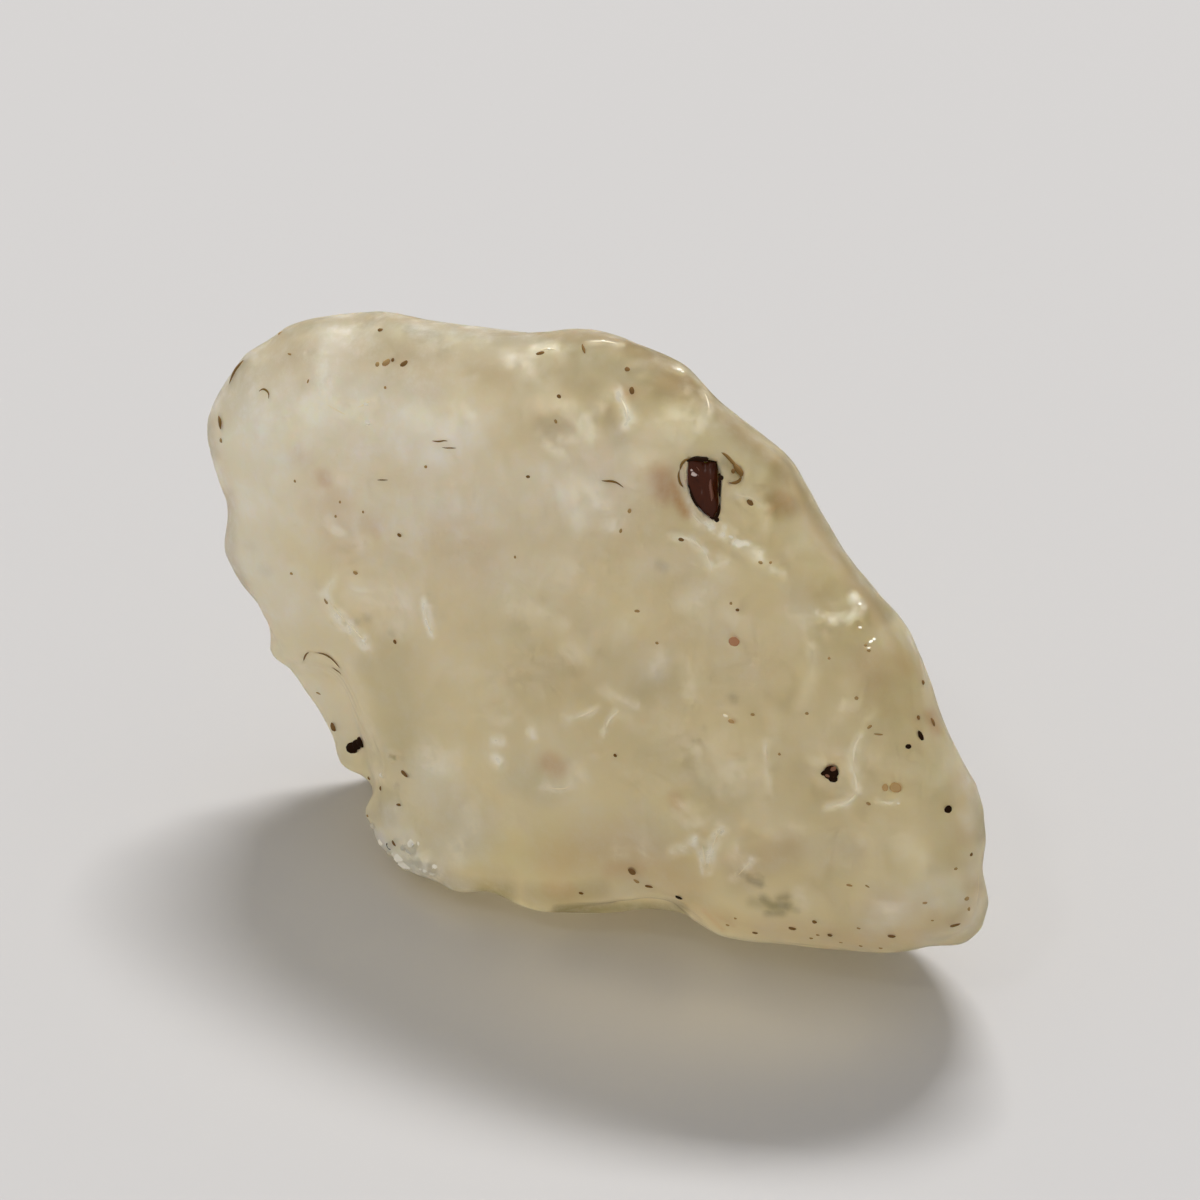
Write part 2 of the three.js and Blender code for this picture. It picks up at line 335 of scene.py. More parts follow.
cutter = cavity_block("cavity cutter", 1.2, 1.3, 1.0)
apply_modifier(stone, "cavity", "BOOLEAN", operation="DIFFERENCE", object=cutter, solver="EXACT")
bpy.data.objects.remove(cutter)
print("cavity cut at", [round(v / MM, 1) for v in mouth_at], "mm")

# %% [markdown]
# ## Marks on the skin
# White lips and scars, rust stains, olive patches and milky veils have soft edges, and so have
# the painted shade and painted highlights among them. They could be cut-out shapes, but those
# would look stuck on. So they are painted on the skin's points with a round soft brush. The four
# kinds go to the red, green, blue and alpha of one colour attribute, and the glass material turns
# each into a finish.

# %% A soft brush
mesh = stone.data
places = np.empty(len(mesh.vertices) * 3)
mesh.vertices.foreach_get("co", places)
places = places.reshape(-1, 3)
facing = np.empty(len(mesh.vertices) * 3)
mesh.vertices.foreach_get("normal", facing)
facing = facing.reshape(-1, 3) @ np.array(toward_camera)
ray = places - np.array(camera_at)
scale = VIEW_DISTANCE / (ray @ -np.array(toward_camera)) / MM
seen = np.column_stack((ray[:, 0] * scale, (ray @ np.array(view_up)) * scale))
BRUSH_SOFTNESS = 1.7
PAINT_END = 15  # how sharply paint ends where the skin turns away from the view
front = np.clip(facing * PAINT_END, 0, 1)


def add_stroke(layer, strength, reach, points, ends):
    """Lays one soft stroke through the ends over a layer, where it is the stronger."""
    gap = np.full(len(points), np.inf)
    for start, end in zip(ends, ends[1:]):
        along = end - start
        share = np.clip((points - start) @ along / (along @ along), 0, 1)
        gap = np.minimum(gap, np.linalg.norm(points - start - np.outer(share, along), axis=1))
    near = np.clip(1 - gap / (reach * BRUSH_SOFTNESS), 0, 1)
    return np.maximum(layer, strength * near * near * (3 - 2 * near))


def paint(rows):
    """The strength of brush strokes at each point of the skin, from 0 to 1."""
    layer = np.zeros(len(places))
    for strength, reach, stroke in rows:
        layer = add_stroke(layer, strength, reach, seen, np.array(stroke, float))
    return layer * front


def outer_point(tree, heading, pitch):
    """The point and normal met from outside, on a line to the middle of the stone.

    Heading 90 is straight behind and 0 is to the right; pitch 90 is straight down from above.
    """
    turn, lift = math.radians(heading), math.radians(pitch)
    way = Vector(
        (math.cos(turn) * math.cos(lift), math.sin(turn) * math.cos(lift), math.sin(lift))
    )
    point, normal, _, _ = tree.ray_cast(MIDDLE + way * FAR * MM, -way)
    return point, normal


def paint_round(rows, tree):
    """The same brush, led by heading and pitch, for the sides that the view does not show."""
    layer = np.zeros(len(places))
    for strength, reach, stroke in rows:
        ends = np.array([outer_point(tree, *place)[0] for place in stroke])
        layer = add_stroke(layer, strength, reach * MM, places, ends)
    return layer


# %% [markdown]
# The strokes, group by group over the face: lips and scars of crushed white glass, milky veils
# that lie just under the skin, rust where iron has soaked in, and dull olive patches. The white
# on the lips and in the dimples also stands for their highlights: painted highlight. Rust along
# the outline also darkens the edge there: painted shade. Olive also stands for shade that the
# light alone does not give, painted shade: along the rims, on the floors of bowls and under the
# notch. Nothing is known of the back, so its strokes carry on what the front shows. White lips
# also stand a little proud, so the skin is raised under them.

# %% White lips and scars, and painted highlights
# Each row: strength, half width in mm, and the points that the brush passes, in mm
WHITE = [
    # the bowl on the left and its lips, painted highlight on the lips
    (0.8, 0.25, [(-12.1, 0.9), (-12.5, 0.3), (-12, -0.6)]),
    (1, 0.35, [(-12, -0.6), (-11.4, -1.2), (-10.6, -2)]),
    (0.85, 0.25, [(-8, -0.1), (-7.9, -0.7), (-7.6, -1.5)]),
    (0.45, 1, [(-10.9, 0.4), (-9.3, 0)]),
    (0.35, 0.75, [(-9.8, -0.9), (-9.1, -1.1)]),
    # the crease under the top bevel, upper left
    (0.5, 0.55, [(-13, 8.7), (-12.6, 9)]),
    (0.55, 0.25, [(-12.6, 9), (-11.6, 8.5), (-11.3, 8.4)]),
    (0.6, 0.25, [(-11, 8.7), (-10.4, 9)]),
    (0.45, 0.2, [(-6.2, 8.7), (-5.7, 8.3)]),
    (0.3, 0.55, [(-8.6, 8.3), (-8.2, 8.3)]),
    (0.25, 0.45, [(-7, 7.7), (-6.9, 7.7)]),
    (0.5, 0.25, [(-12.3, 3.6), (-12.1, 3.3), (-11.8, 3)]),
    (0.35, 0.4, [(-10.9, 2.7), (-10.8, 2.6)]),
    (0.3, 0.35, [(-11.8, 5.5), (-11.7, 5.4)]),
    # the dimples along the top, painted highlights in them
    (0.5, 0.25, [(-3, 11.3), (-2.4, 11.5), (-1.9, 11.4)]),
    (0.35, 0.5, [(-4, 10.8), (-3.6, 10.5)]),
    (0.25, 0.15, [(-0.5, 11.7), (0.1, 11.7), (1, 11.6)]),
    (0.4, 0.5, [(-2.7, 9), (-2, 9)]),
    (0.75, 0.45, [(-1.4, 8.7), (-0.7, 8.1), (-0.5, 7.5)]),
    (0.45, 0.25, [(-1.8, 7.3), (-0.5, 7.3)]),
    (0.5, 0.25, [(-2.4, 7), (-1.8, 6.7)]),
    (0.95, 0.3, [(0.8, 9.4), (1, 8.9), (1.3, 8.3), (1.2, 8)]),
    (0.5, 0.35, [(0.2, 9.2), (0, 8.7)]),
    (0.4, 0.75, [(3.3, 8.5), (4.1, 8.2)]),
    (0.3, 0.35, [(1.8, 6.4), (2, 6.3)]),
    (0.3, 0.2, [(4.7, 9.5), (4.9, 9.1), (5, 8.5)]),
    (0.4, 0.2, [(3.5, 10.5), (3.7, 10.4)]),
    (0.45, 0.65, [(-1.1, 5), (-0.2, 4.6)]),
    (0.5, 0.35, [(0.3, 3.3), (0.6, 3.3)]),
    (0.3, 0.65, [(-0.9, 3.6), (-0.8, 3.5)]),
    (0.25, 0.65, [(-1.8, 1.8), (-1.6, 1.4)]),
    # the pale scars that run down from the cavity
    (0.6, 0.25, [(4, 4.5), (4.5, 3.7), (5, 3.3)]),
    (0.85, 0.35, [(4.7, 3.5), (5.7, 3)]),
    (1, 0.35, [(5.5, 3.2), (6.1, 2.7), (7.1, 2.1)]),
    (0.6, 0.2, [(7.1, 2.1), (7.7, 1.5), (8.4, 1.1)]),
    (0.75, 0.25, [(3.3, 2.9), (4.1, 2.8), (4.7, 2.3), (5, 1.6)]),
    (0.5, 0.3, [(5, 1.6), (5.6, 1.8)]),
    (0.55, 0.25, [(5.9, 4.8), (6.8, 4.7), (7.5, 4.2)]),
    (0.4, 0.3, [(7.5, 4.2), (7.5, 3.2)]),
    # specks and lips in the middle
    (0.3, 0.25, [(3.8, 6.1), (3.7, 5.5), (4, 4.9)]),
    (0.4, 0.45, [(-4.2, -0.5), (-3.9, -0.5)]),
    (0.4, 0.45, [(-3, -0.5), (-2.8, -0.5)]),
    (0.3, 0.4, [(-1.8, -0.9), (-1.7, -1.1)]),
    (0.45, 0.5, [(-1.5, -2.5), (-1.2, -2.6)]),
    (0.25, 0.55, [(1.1, -0.9), (1.5, -0.6)]),
    (0.45, 0.3, [(0.2, -4.1), (1.1, -4.6), (1.8, -4.8)]),
    (0.5, 0.25, [(-1.5, -5.5), (-0.7, -5.2), (-0.1, -4.9)]),
    (0.6, 0.2, [(0.2, -6), (0.4, -5.5), (0.8, -5)]),
    (0.35, 0.55, [(4.1, -2.7), (4.2, -4.1)]),
    (0.3, 0.55, [(2.5, -2.5), (2.6, -3.3)]),
    (0.3, 0.65, [(4.1, 0), (4.5, -0.7)]),
    (0.45, 0.45, [(5.8, -0.5), (6.4, -0.9)]),
    # the lips of the two wide bowls on the right, painted highlight on them
    (0.3, 0.3, [(9.1, -0.9), (9.6, -1.8), (9.7, -3.2), (9.4, -4.1), (9, -4.8)]),
    (0.55, 0.25, [(9.8, -0.6), (10.5, -0.9), (11.3, -0.9), (11.7, -0.5)]),
    (0.6, 0.25, [(11.5, 0.1), (11.9, -0.4)]),
    (0.35, 1.25, [(4.1, -6.6), (5.9, -7.5)]),
    (0.25, 1.25, [(2.7, -5.5), (3.2, -5.9)]),
    (0.5, 0.2, [(7.5, -6.4), (7.6, -7.5), (7.7, -8.6)]),
    # the pale edge of the flange
    (0.2, 0.25, [(-11.4, -3.1), (-10.8, -4), (-10.5, -5.1), (-10.3, -6.6), (-10.3, -7.8)]),
    # the crease beside the dark grain
    (0.6, 0.25, [(11.9, -6.1), (11.5, -7), (11.5, -7.8), (11.7, -8.6)]),
    (0.6, 0.25, [(11.7, -8.6), (11.3, -9.2), (10.4, -9.4)]),
    (0.5, 0.2, [(9.5, -7.1), (10.1, -7.4)]),
    (0.4, 0.3, [(11.1, -4.8), (11.6, -4.7)]),
    (0.4, 0.25, [(12, -5.2), (12.1, -5.3)]),
    (0.5, 0.2, [(12.7, -9.1), (13.1, -9.2), (13.5, -9.1)]),
    (0.35, 0.25, [(10, -7.4), (9.9, -8), (10.3, -8.4), (10.9, -8.3), (11.1, -7.7)]),
    # scratches and haze low on the right
    (0.5, 0.55, [(3.6, -9.5), (4.5, -10.1)]),
    (1, 0.35, [(4.8, -12.2), (5, -11.4), (5.5, -10.4)]),
    (0.9, 0.25, [(4.9, -12.3), (4.7, -11.8), (4.5, -10.9)]),
    (0.8, 0.3, [(3.4, -11.4), (4.1, -11.1), (4.4, -10.8)]),
    (0.5, 0.45, [(6.1, -11.6), (6.6, -12)]),
    (0.8, 0.25, [(6.1, -12.6), (6.6, -12.1), (6.9, -11.8)]),
    (0.6, 0.35, [(9, -13.3), (9.3, -13.9)]),
    (0.4, 0.45, [(13, -14), (13.1, -14.1)]),
    (0.35, 0.45, [(8.8, -10.4), (9, -10.5)]),
    (0.3, 0.65, [(13.6, -10.9), (14.5, -11.8)]),
    # blooms on the lower left lobe
    (0.5, 0.8, [(-7.7, -7), (-6.8, -7.3)]),
    (1, 0.35, [(-4.7, -6.4), (-4.6, -6.5)]),
    (0.9, 0.35, [(-4.7, -7.2), (-4.6, -7.4)]),
    (0.4, 0.35, [(-4.6, -5.5), (-4.5, -5.5)]),
    (0.7, 0.3, [(-3.1, -5.9), (-3, -6.1)]),
    (0.5, 0.25, [(-2.5, -8.5), (-1.8, -8.6), (-1.3, -8.4)]),
    (0.35, 0.35, [(-1, -7.6), (-0.9, -7.8)]),
    (0.3, 0.55, [(-4.5, -10), (-3.6, -10)]),
    (0.4, 0.35, [(-5.9, -9.5), (-5.7, -10.4)]),
    (0.5, 0.6, [(-6.5, -11.1), (-6.4, -11.7)]),
    (0.5, 0.4, [(0.8, -11.5), (1, -11.5)]),
    (0.4, 0.35, [(2, -11.3), (2.1, -11.5)]),
    (0.35, 0.45, [(-7.7, -6.4), (-7.5, -6.4)]),
    (0.35, 0.25, [(-9.5, -7), (-9.5, -7.1)]),
    (0.6, 0.25, [(-10, -8), (-9.8, -8)]),
    (0.35, 0.25, [(-9.3, -8.4), (-9.2, -8.5)]),
    # the broken, frothy corner
    (0.8, 0.65, [(-8.9, -11.1), (-8.6, -11.7)]),
    (0.8, 0.55, [(-9.2, -11.9), (-8.5, -12.4)]),
    (0.7, 0.45, [(-8, -11.9), (-7.5, -12.4)]),
]

# %% Rust
RUST = [
    # stains in the upper left
    (0.7, 0.4, [(-12.6, 5.6), (-12.5, 5.4)]),
    (0.45, 0.6, [(-10.5, 3.5), (-10.3, 3.4)]),
    (0.3, 1.1, [(-12.3, 4.5), (-11.6, 2.7)]),
    (0.2, 1.25, [(-6.6, 2.7), (-5.5, 1.8)]),
    (0.35, 0.45, [(-13.7, 6.6), (-13.5, 6.5)]),
    (0.15, 1.2, [(-15.9, 11.4), (-12.3, 11.1), (-8.2, 10.9), (-4.5, 10.5)]),
    # rust round the cavity
    (0.9, 0.55, [(2.8, 5.6), (3, 4.9)]),
    (1, 0.3, [(3.3, 5.3), (3.5, 4.6), (3.9, 4)]),
    (0.5, 0.6, [(8.2, 4.5), (8.5, 4.4)]),
    (0.35, 0.65, [(3.1, 10), (3.8, 9.6)]),
    (0.4, 0.35, [(1, 9.5), (1.3, 9.4)]),
    # stains on the right and below
    (0.75, 0.5, [(-2.3, -7.4), (-2, -7.6)]),
    (0.3, 0.9, [(12.3, -2.9), (12.5, -3.4)]),
    (0.5, 0.55, [(0.5, -12.2), (1.8, -12.2)]),
    (0.4, 0.55, [(-2.2, -13.1), (-1.5, -13.2)]),
    (0.5, 0.35, [(3.4, -9), (3.5, -9.2)]),
    (0.5, 0.15, [(4.7, -14.1), (5.1, -14.5), (5.6, -15)]),
    (0.4, 0.15, [(5.3, -14.3), (6.1, -14.8)]),
    (0.6, 0.3, [(15, -5.2), (15.3, -5.9)]),
    (0.25, 0.55, [(16.3, -8.2), (16.6, -10.7)]),
    (0.2, 0.9, [(12.7, -13.9), (15, -14.3)]),
    (0.15, 0.9, [(0, 6.1), (0.7, 5.2)]),
    # the warm skin along the outline, which also paints the darker edge: painted shade
    (0.2, 0.25, [
        (-16.9, 10.5), (-17.5, 9.1), (-17.5, 7.3), (-17, 5.5), (-16.9, 2.7), (-16.5, 1.1),
        (-15.4, -0.5), (-14.9, -1.8),
    ]),
    (0.25, 0.25, [
        (-16.5, 11.3), (-15, 12.3), (-13.2, 12.8), (-9.1, 12.8), (-4.5, 12.1), (-1.8, 12.1),
    ]),
    (0.3, 0.55, [(-2, 12.1), (-0.5, 12.2), (1.8, 11.5), (3.6, 10.2), (4.8, 9.1)]),
    (0.25, 0.45, [
        (4.5, 9.3), (6.4, 7.6), (8.1, 6.3), (9.5, 3.6), (11.4, 0.9), (13.2, -1.8), (13.9, -3.2),
    ]),
    (0.12, 0.65, [(-7.7, -12.4), (-5.9, -12.7), (-4.5, -12.7), (-2.5, -13.6), (0, -13.2)]),
    (0.3, 1.2, [(-1.8, -11.8), (0.9, -11.1), (4.1, -13)]),
    (0.25, 0.75, [(6.1, -12.3), (8.6, -11.1)]),
    (0.25, 0.55, [
        (4.1, -13.9), (6.4, -14.8), (11.4, -15.4), (15, -15.2), (16.8, -14.3), (17, -12.3),
    ]),
]

# %% Milky veils
VEIL = [
    # the milky upper left and top
    (0.68, 3.4, [(-15.4, 7.7), (-12.3, 8.9), (-7.7, 8.2)]),
    (0.3, 1.6, [(-15.4, 10.7), (-12.7, 11.3), (-9.1, 11.3), (-3.6, 10.7)]),
    (0.4, 2.95, [(-13.2, 4.5), (-7.7, 4.5), (-0.5, 5.5)]),
    (0.25, 2.25, [(-5.9, 1.8), (-1.8, 1.4)]),
    (0.22, 0.6, [(16.5, -8.4), (17, -10.9), (17, -12.7)]),
    (0.35, 0.55, [(14.8, -15.4), (16.6, -14.8), (17.2, -13.6)]),
    (0.3, 1.1, [(-12.3, 11.6), (-11.6, 11.1), (-10.1, 11.5)]),
    # veils seen through the face
    (0.3, 1.1, [(-3.6, 9.1), (-1.8, 7.7), (-1.1, 6.4)]),
    (0.22, 1.2, [(4.5, 0), (6.1, -1.8), (6.6, -3.6)]),
    (0.25, 0.75, [(10, -11.4), (11.4, -11.3)]),
    (0.35, 1.2, [(-7.7, -8.2), (-5.9, -10.5), (-7.3, -11.4)]),
    (0.2, 1, [(-6.6, 7.7), (-4.5, 7.3)]),
    (0.25, 0.9, [(2.3, 1.6), (4.1, 1.8)]),
    (0.2, 1, [(1.8, -3.2), (2.7, -2.7)]),
    (0.5, 1.75, [(-15.9, 5.9), (-15.5, 1.8), (-14.1, -0.2)]),
    (0.2, 0.75, [(9.1, 0.5), (8.6, -1.8)]),
    (0.3, 1, [(-10.9, 0.4), (-9.3, 0)]),
    (0.3, 0.9, [(-9.8, -9.8), (-8.6, -11.4), (-7.7, -12.3)]),
    (0.5, 0.5, [(-10.1, -10.7), (-9.3, -11.6), (-8.4, -12.2), (-7.4, -12.3)]),
    (0.3, 0.75, [(-13.9, -2.5), (-12.5, -4.1), (-11.4, -6.1)]),
    (0.4, 1, [(12.7, -14.3), (15.2, -13.6), (16.1, -13.5)]),
    (0.2, 1, [(-12.3, -1.1), (-11.4, -2.3)]),
    (0.45, 0.55, [(-6.8, -12.8), (-6.1, -13.1)]),
    (0.25, 1.2, [(-5.5, 7.3), (-2.7, 7.5)]),
]

# %% Olive patches and painted shade
SHADE = [
    # grey and olive patches low on the right
    (0.5, 0.3, [(6.9, -13.7), (7.5, -13.8)]),
    (0.9, 0.25, [(7.4, -13.6), (7.8, -13.9), (8.5, -13.9)]),
    (0.7, 0.2, [(7.6, -14.2), (8.3, -14.2)]),
    (0.6, 0.2, [(8.1, -13.6), (8.5, -13.5)]),
    (0.45, 0.15, [(8.7, -14), (9, -14.1)]),
    (0.8, 0.2, [(6.4, -12.4), (6.8, -12.6)]),
    (0.9, 0.2, [(6.8, -12.7), (7.3, -12.9)]),
    (0.5, 0.15, [(7.1, -12.5), (7.4, -12.6)]),
    (0.2, 0.6, [(11, -11.1), (11.8, -11.6)]),
    # painted shade: the dark band of shaded underside under the notch
    (0.95, 0.35, [(-1.9, -14.1), (-0.5, -14.1), (1.4, -14), (3, -14), (3.7, -14)]),
    # painted shade on the darker rims, the bottom edge and the floors of bowls,
    # with a few real olive patches among them
    (0.4, 1.1, [(-1.1, 11.3), (1.8, 10.5), (4.1, 9.2)]),
    (0.55, 0.55, [(-16.2, 11.2), (-15.1, 12), (-13.6, 12.4), (-12.5, 12.7)]),
    (0.65, 0.55, [(-12.5, 12.7), (-10, 12.8), (-7.7, 12.5), (-4.5, 11.9), (-1.8, 11.9)]),
    (0.62, 0.65, [(-1.8, 11.9), (0.5, 11.9), (2.7, 10.9), (4.5, 9.5)]),
    (0.6, 0.65, [(4.5, 9.5), (6.6, 7.3), (8.4, 5.7)]),
    (0.45, 1.2, [(-16.6, 9.1), (-15.4, 10.4), (-13.2, 11.3), (-10, 11.4), (-7.3, 11.3)]),
    (0.3, 1.2, [(-7.3, 11.3), (-2.7, 10.8)]),
    (0.3, 1, [(-14.5, 9.6), (-11.4, 10.1), (-7.7, 9.8)]),
    (0.6, 0.35, [(8.4, 6.4), (9.3, 4.8), (10.1, 3.4), (11.7, 1.1), (13.1, -0.7)]),
    (0.45, 0.4, [(16.6, -8), (17.1, -9.3), (17.3, -10.7)]),
    (0.5, 0.3, [(-17, 9.8), (-17.5, 9), (-17.8, 7.7), (-17.6, 6.7)]),
    (0.4, 0.3, [(-16.9, 4.8), (-16.8, 3.2), (-16.8, 1.8), (-16.2, 0.7)]),
    (0.26, 1.9, [(-6.8, -10.9), (-2.7, -11.4), (1.8, -11.4)]),
    (0.32, 1.35, [(-9.5, -2.7), (-8.9, -6.4)]),
    (0.7, 0.75, [(-7.7, -12.6), (-6.6, -13.1), (-4.3, -13.3)]),
    (0.6, 0.25, [(5.7, 6.3), (6.2, 5.7)]),
    (0.3, 0.65, [(-10.5, -3), (-9.8, -4.5), (-9.1, -5.5)]),
    (0.3, 0.75, [(-1.8, 10.2), (-0.5, 9.8)]),
    (0.45, 0.65, [(-3.2, -13.3), (-1.8, -13.5), (0, -13.1)]),
    (0.3, 0.9, [(-7.3, -12.4), (-4.3, -12.4)]),
    (0.3, 1.1, [(-3.4, -8), (-2.5, -8.6)]),
    (0.5, 0.6, [(8.1, 4.5), (8.6, 4.3)]),
    (0.3, 0.45, [(4.2, -13.7), (5.7, -14.5)]),
    (0.85, 0.55, [(-8.6, 12.3), (-7.5, 12)]),
    (0.25, 0.8, [(0, -11.6), (1.8, -10.9)]),
    (0.25, 0.8, [(6.4, -12.7), (8.6, -11.4)]),
    (0.3, 0.55, [(0, 9.1), (0.9, 7.3)]),
    (0.2, 0.8, [(9.1, 0.5), (9.8, 0)]),
    (0.15, 0.9, [(1.8, -6.4), (4.1, -8), (5.9, -9.1)]),
    (0.35, 0.8, [(-2.3, 10.5), (-0.9, 10.6)]),
    (0.3, 0.75, [(-2.3, 8), (-1.8, 7.9)]),
    (0.4, 0.65, [(-9.8, -9.6), (-9.5, -9.1)]),
    (0.25, 0.8, [(-7.7, -10.5), (-7.3, -10.5)]),
    (0.22, 0.25, [(-15.3, 1.4), (-15.1, 1.3)]),
    (0.15, 0.25, [(-16, 2.5), (-15.8, 2.4)]),
    (0.4, 0.2, [(-11.3, -1), (-11.1, -1)]),
    (0.4, 0.2, [(-10.6, -0.8), (-10.5, -0.8)]),
    (0.3, 0.9, [(1.8, -4.1), (2.7, -3.6)]),
    (0.4, 0.2, [(-9.5, -1.5), (-9.4, -1.6)]),
    (0.4, 0.2, [(6, -4.4), (6.1, -4.5)]),
    (0.4, 0.25, [(2.7, 1.6), (2.9, 1.5)]),
]

# %% Strokes on the sides that the view does not show
# Each row: strength, half width in mm, and the places that the brush passes, as heading, pitch
WHITE_BEHIND = [
    (0.8, 0.3, [(78, 32), (84, 30), (89, 24)]), (0.7, 0.35, [(112, 12), (118, 6), (119, -2)]),
    (0.6, 0.3, [(64, 2), (70, -2), (77, -3)]), (0.7, 0.3, [(96, -14), (103, -18), (111, -17)]),
    (0.5, 0.6, [(135, 22), (140, 18)]), (0.6, 0.3, [(148, -8), (152, -15), (158, -18)]),
    (0.5, 0.5, [(48, 18), (44, 12)]), (0.6, 0.3, [(20, 8), (14, 2), (12, -6)]),
    (0.5, 0.4, [(85, 62), (100, 66)]), (0.5, 0.5, [(60, -45), (85, -50)]),
]
RUST_BEHIND = [
    (0.5, 1.2, [(70, 12), (76, 8)]), (0.4, 1.6, [(120, -20), (132, -24)]),
    (0.5, 0.7, [(100, 38), (106, 36)]), (0.5, 0.6, [(152, 6), (155, 2)]),
    (0.4, 1.0, [(30, -12), (38, -16)]), (0.35, 0.8, [(60, -30), (80, -34), (105, -34)]),
    (0.4, 1.2, [(300, -78), (340, -80)]),
]
SHADE_BEHIND = [
    (0.5, 0.5, [(88, 6), (95, 3), (101, 3)]), (0.4, 0.8, [(128, 2), (132, -4)]),
    (0.4, 0.7, [(55, -8), (60, -13)]), (0.4, 0.5, [(108, 50), (116, 47)]),
    (0.4, 1.0, [(250, -80), (290, -84)]),
]

# %% Painting them all
mesh_tree = skin_tree(stone)
marks = np.ones((len(places), 4))
# red: white lips and scars with painted highlights; green: rust, with the painted darker edge along
# the outline; blue: olive patches and painted shade; alpha: milky veils
marks[:, 0] = np.maximum(paint(WHITE), paint_round(WHITE_BEHIND, mesh_tree))
lips = stone.vertex_groups.new(name="lips")
for index in np.flatnonzero(marks[:, 0] > 0.02):
    lips.add([int(index)], float(marks[index, 0]), "REPLACE")
apply_modifier(
    stone, "raise lips", "DISPLACE", vertex_group="lips", strength=0.07 * MM, mid_level=0.0
)
marks[:, 1] = np.maximum(paint(RUST), paint_round(RUST_BEHIND, mesh_tree))
marks[:, 2] = np.maximum(paint(SHADE), paint_round(SHADE_BEHIND, mesh_tree))
marks[:, 3] = paint(VEIL)
attribute = mesh.color_attributes.new("marks", "FLOAT_COLOR", "POINT")
attribute.data.foreach_set("color", marks.ravel())
print("painted points:", int((marks.max(axis=1) > 0.05).sum()), "of", len(places))

# %% [markdown]
# ## The glass
# Silica glass that cooled fast from melted sand. It is clear in itself, but full of fine
# bubbles and milky bands, and blown sand has ground its skin satin. So light enters, spreads
# and comes out soft and yellow. One Principled shader does this: its transmission has a rough
# skin, the rest scatters 6 mm deep, and absorption inside takes out blue.
#
# Noise 5 mm wide makes the milky bands and noise of 1 mm the fine mottling. Milk whitens the
# glass and blocks the view into it. A white lip is crushed glass: it scatters at its very
# face, and its broken surface is smoother, so it shines. On lips and in dimples the white is
# also painted highlight, and olive along the rims and in hollows is painted shade. Veils and
# olive patches are matt.

# %% Glass: bands, mottling and the painted marks
while stone.data.materials:
    stone.data.materials.pop()
glass = bpy.data.materials.new("sand-worn silica glass")
glass.use_nodes = True
tree = glass.node_tree
tree.nodes.clear()
place = add_node(tree, "ShaderNodeTexCoord", (-1400, 0)).outputs["Object"]
bands = add_node(
    tree, "ShaderNodeTexNoise", (-1200, 200),
    Vector=place, Scale=1 / (5 * MM), Detail=3.0, Roughness=0.55, Distortion=0.6,
)
milk = add_node(
    tree, "ShaderNodeMapRange", (-1000, 200),
    Value=bands.outputs[0], From_Min=0.42, From_Max=0.72, To_Min=0.0, To_Max=0.22,
)
flecks = add_node(
    tree, "ShaderNodeTexNoise", (-1200, -50),
    Vector=place, Scale=1 / (1.1 * MM), Detail=6.5, Roughness=0.8,
)
bloom = add_node(
    tree, "ShaderNodeMapRange", (-1000, -50),
    Value=flecks.outputs[0], From_Min=0.46, From_Max=0.68, To_Min=0.0, To_Max=0.26,
)
marks_read = add_node(tree, "ShaderNodeVertexColor", (-1400, -300), {"layer_name": "marks"})
kinds = add_node(tree, "ShaderNodeSeparateColor", (-1200, -300), Color=marks_read.outputs[0])
wisps = add_node(
    tree, "ShaderNodeTexNoise", (-1200, -500),
    Vector=place, Scale=1 / (0.45 * MM), Detail=3.0, Roughness=0.65,
)
broken = add_node(
    tree, "ShaderNodeMapRange", (-1000, -500),
    Value=wisps.outputs[0], From_Min=0.4, From_Max=0.6, To_Min=0.35, To_Max=1.25,
)
painted = add_node(
    tree, "ShaderNodeMath", (-800, -400), {"operation": "MULTIPLY"},
    i0=kinds.outputs[0], i1=broken.outputs[0],
)
mottled = add_node(
    tree, "ShaderNodeMath", (-800, 200), {"operation": "ADD"},
    i0=milk.outputs[0], i1=bloom.outputs[0],
)
cloudy = add_node(
    tree, "ShaderNodeMath", (-720, 100), {"operation": "ADD"},
    i0=mottled.outputs[0], i1=marks_read.outputs[1],
)
white = add_node(
    tree, "ShaderNodeMath", (-640, -200), {"operation": "ADD", "use_clamp": True},
    i0=painted.outputs[0], i1=cloudy.outputs[0],
)

# %% Glass: its colour, from olive through rust and milk to white
# olive: real olive patches, and painted shade on the rims, bowl floors and under the notch
shaded = add_node(
    tree, "ShaderNodeMix", (-640, 100), {"data_type": "RGBA"},
    i0=kinds.outputs[2], i6=srgb("f1e5bd"), i7=srgb("8a8354"),
)
# rust: iron stains, and along the outline also the painted darker edge
rusty = add_node(
    tree, "ShaderNodeMix", (-480, 50), {"data_type": "RGBA"},
    i0=kinds.outputs[1], i6=shaded.outputs[2], i7=srgb("c8924e"),
)
milky = add_node(
    tree, "ShaderNodeMix", (-320, 0), {"data_type": "RGBA"},
    i0=cloudy.outputs[0], i6=rusty.outputs[2], i7=srgb("f7f5f1"),
)
# white: crushed glass, and on lips and dimples also painted highlight
whitened = add_node(
    tree, "ShaderNodeMix", (-160, 0), {"data_type": "RGBA"},
    i0=painted.outputs[0], i6=milky.outputs[2], i7=srgb("fdf5de"),
)

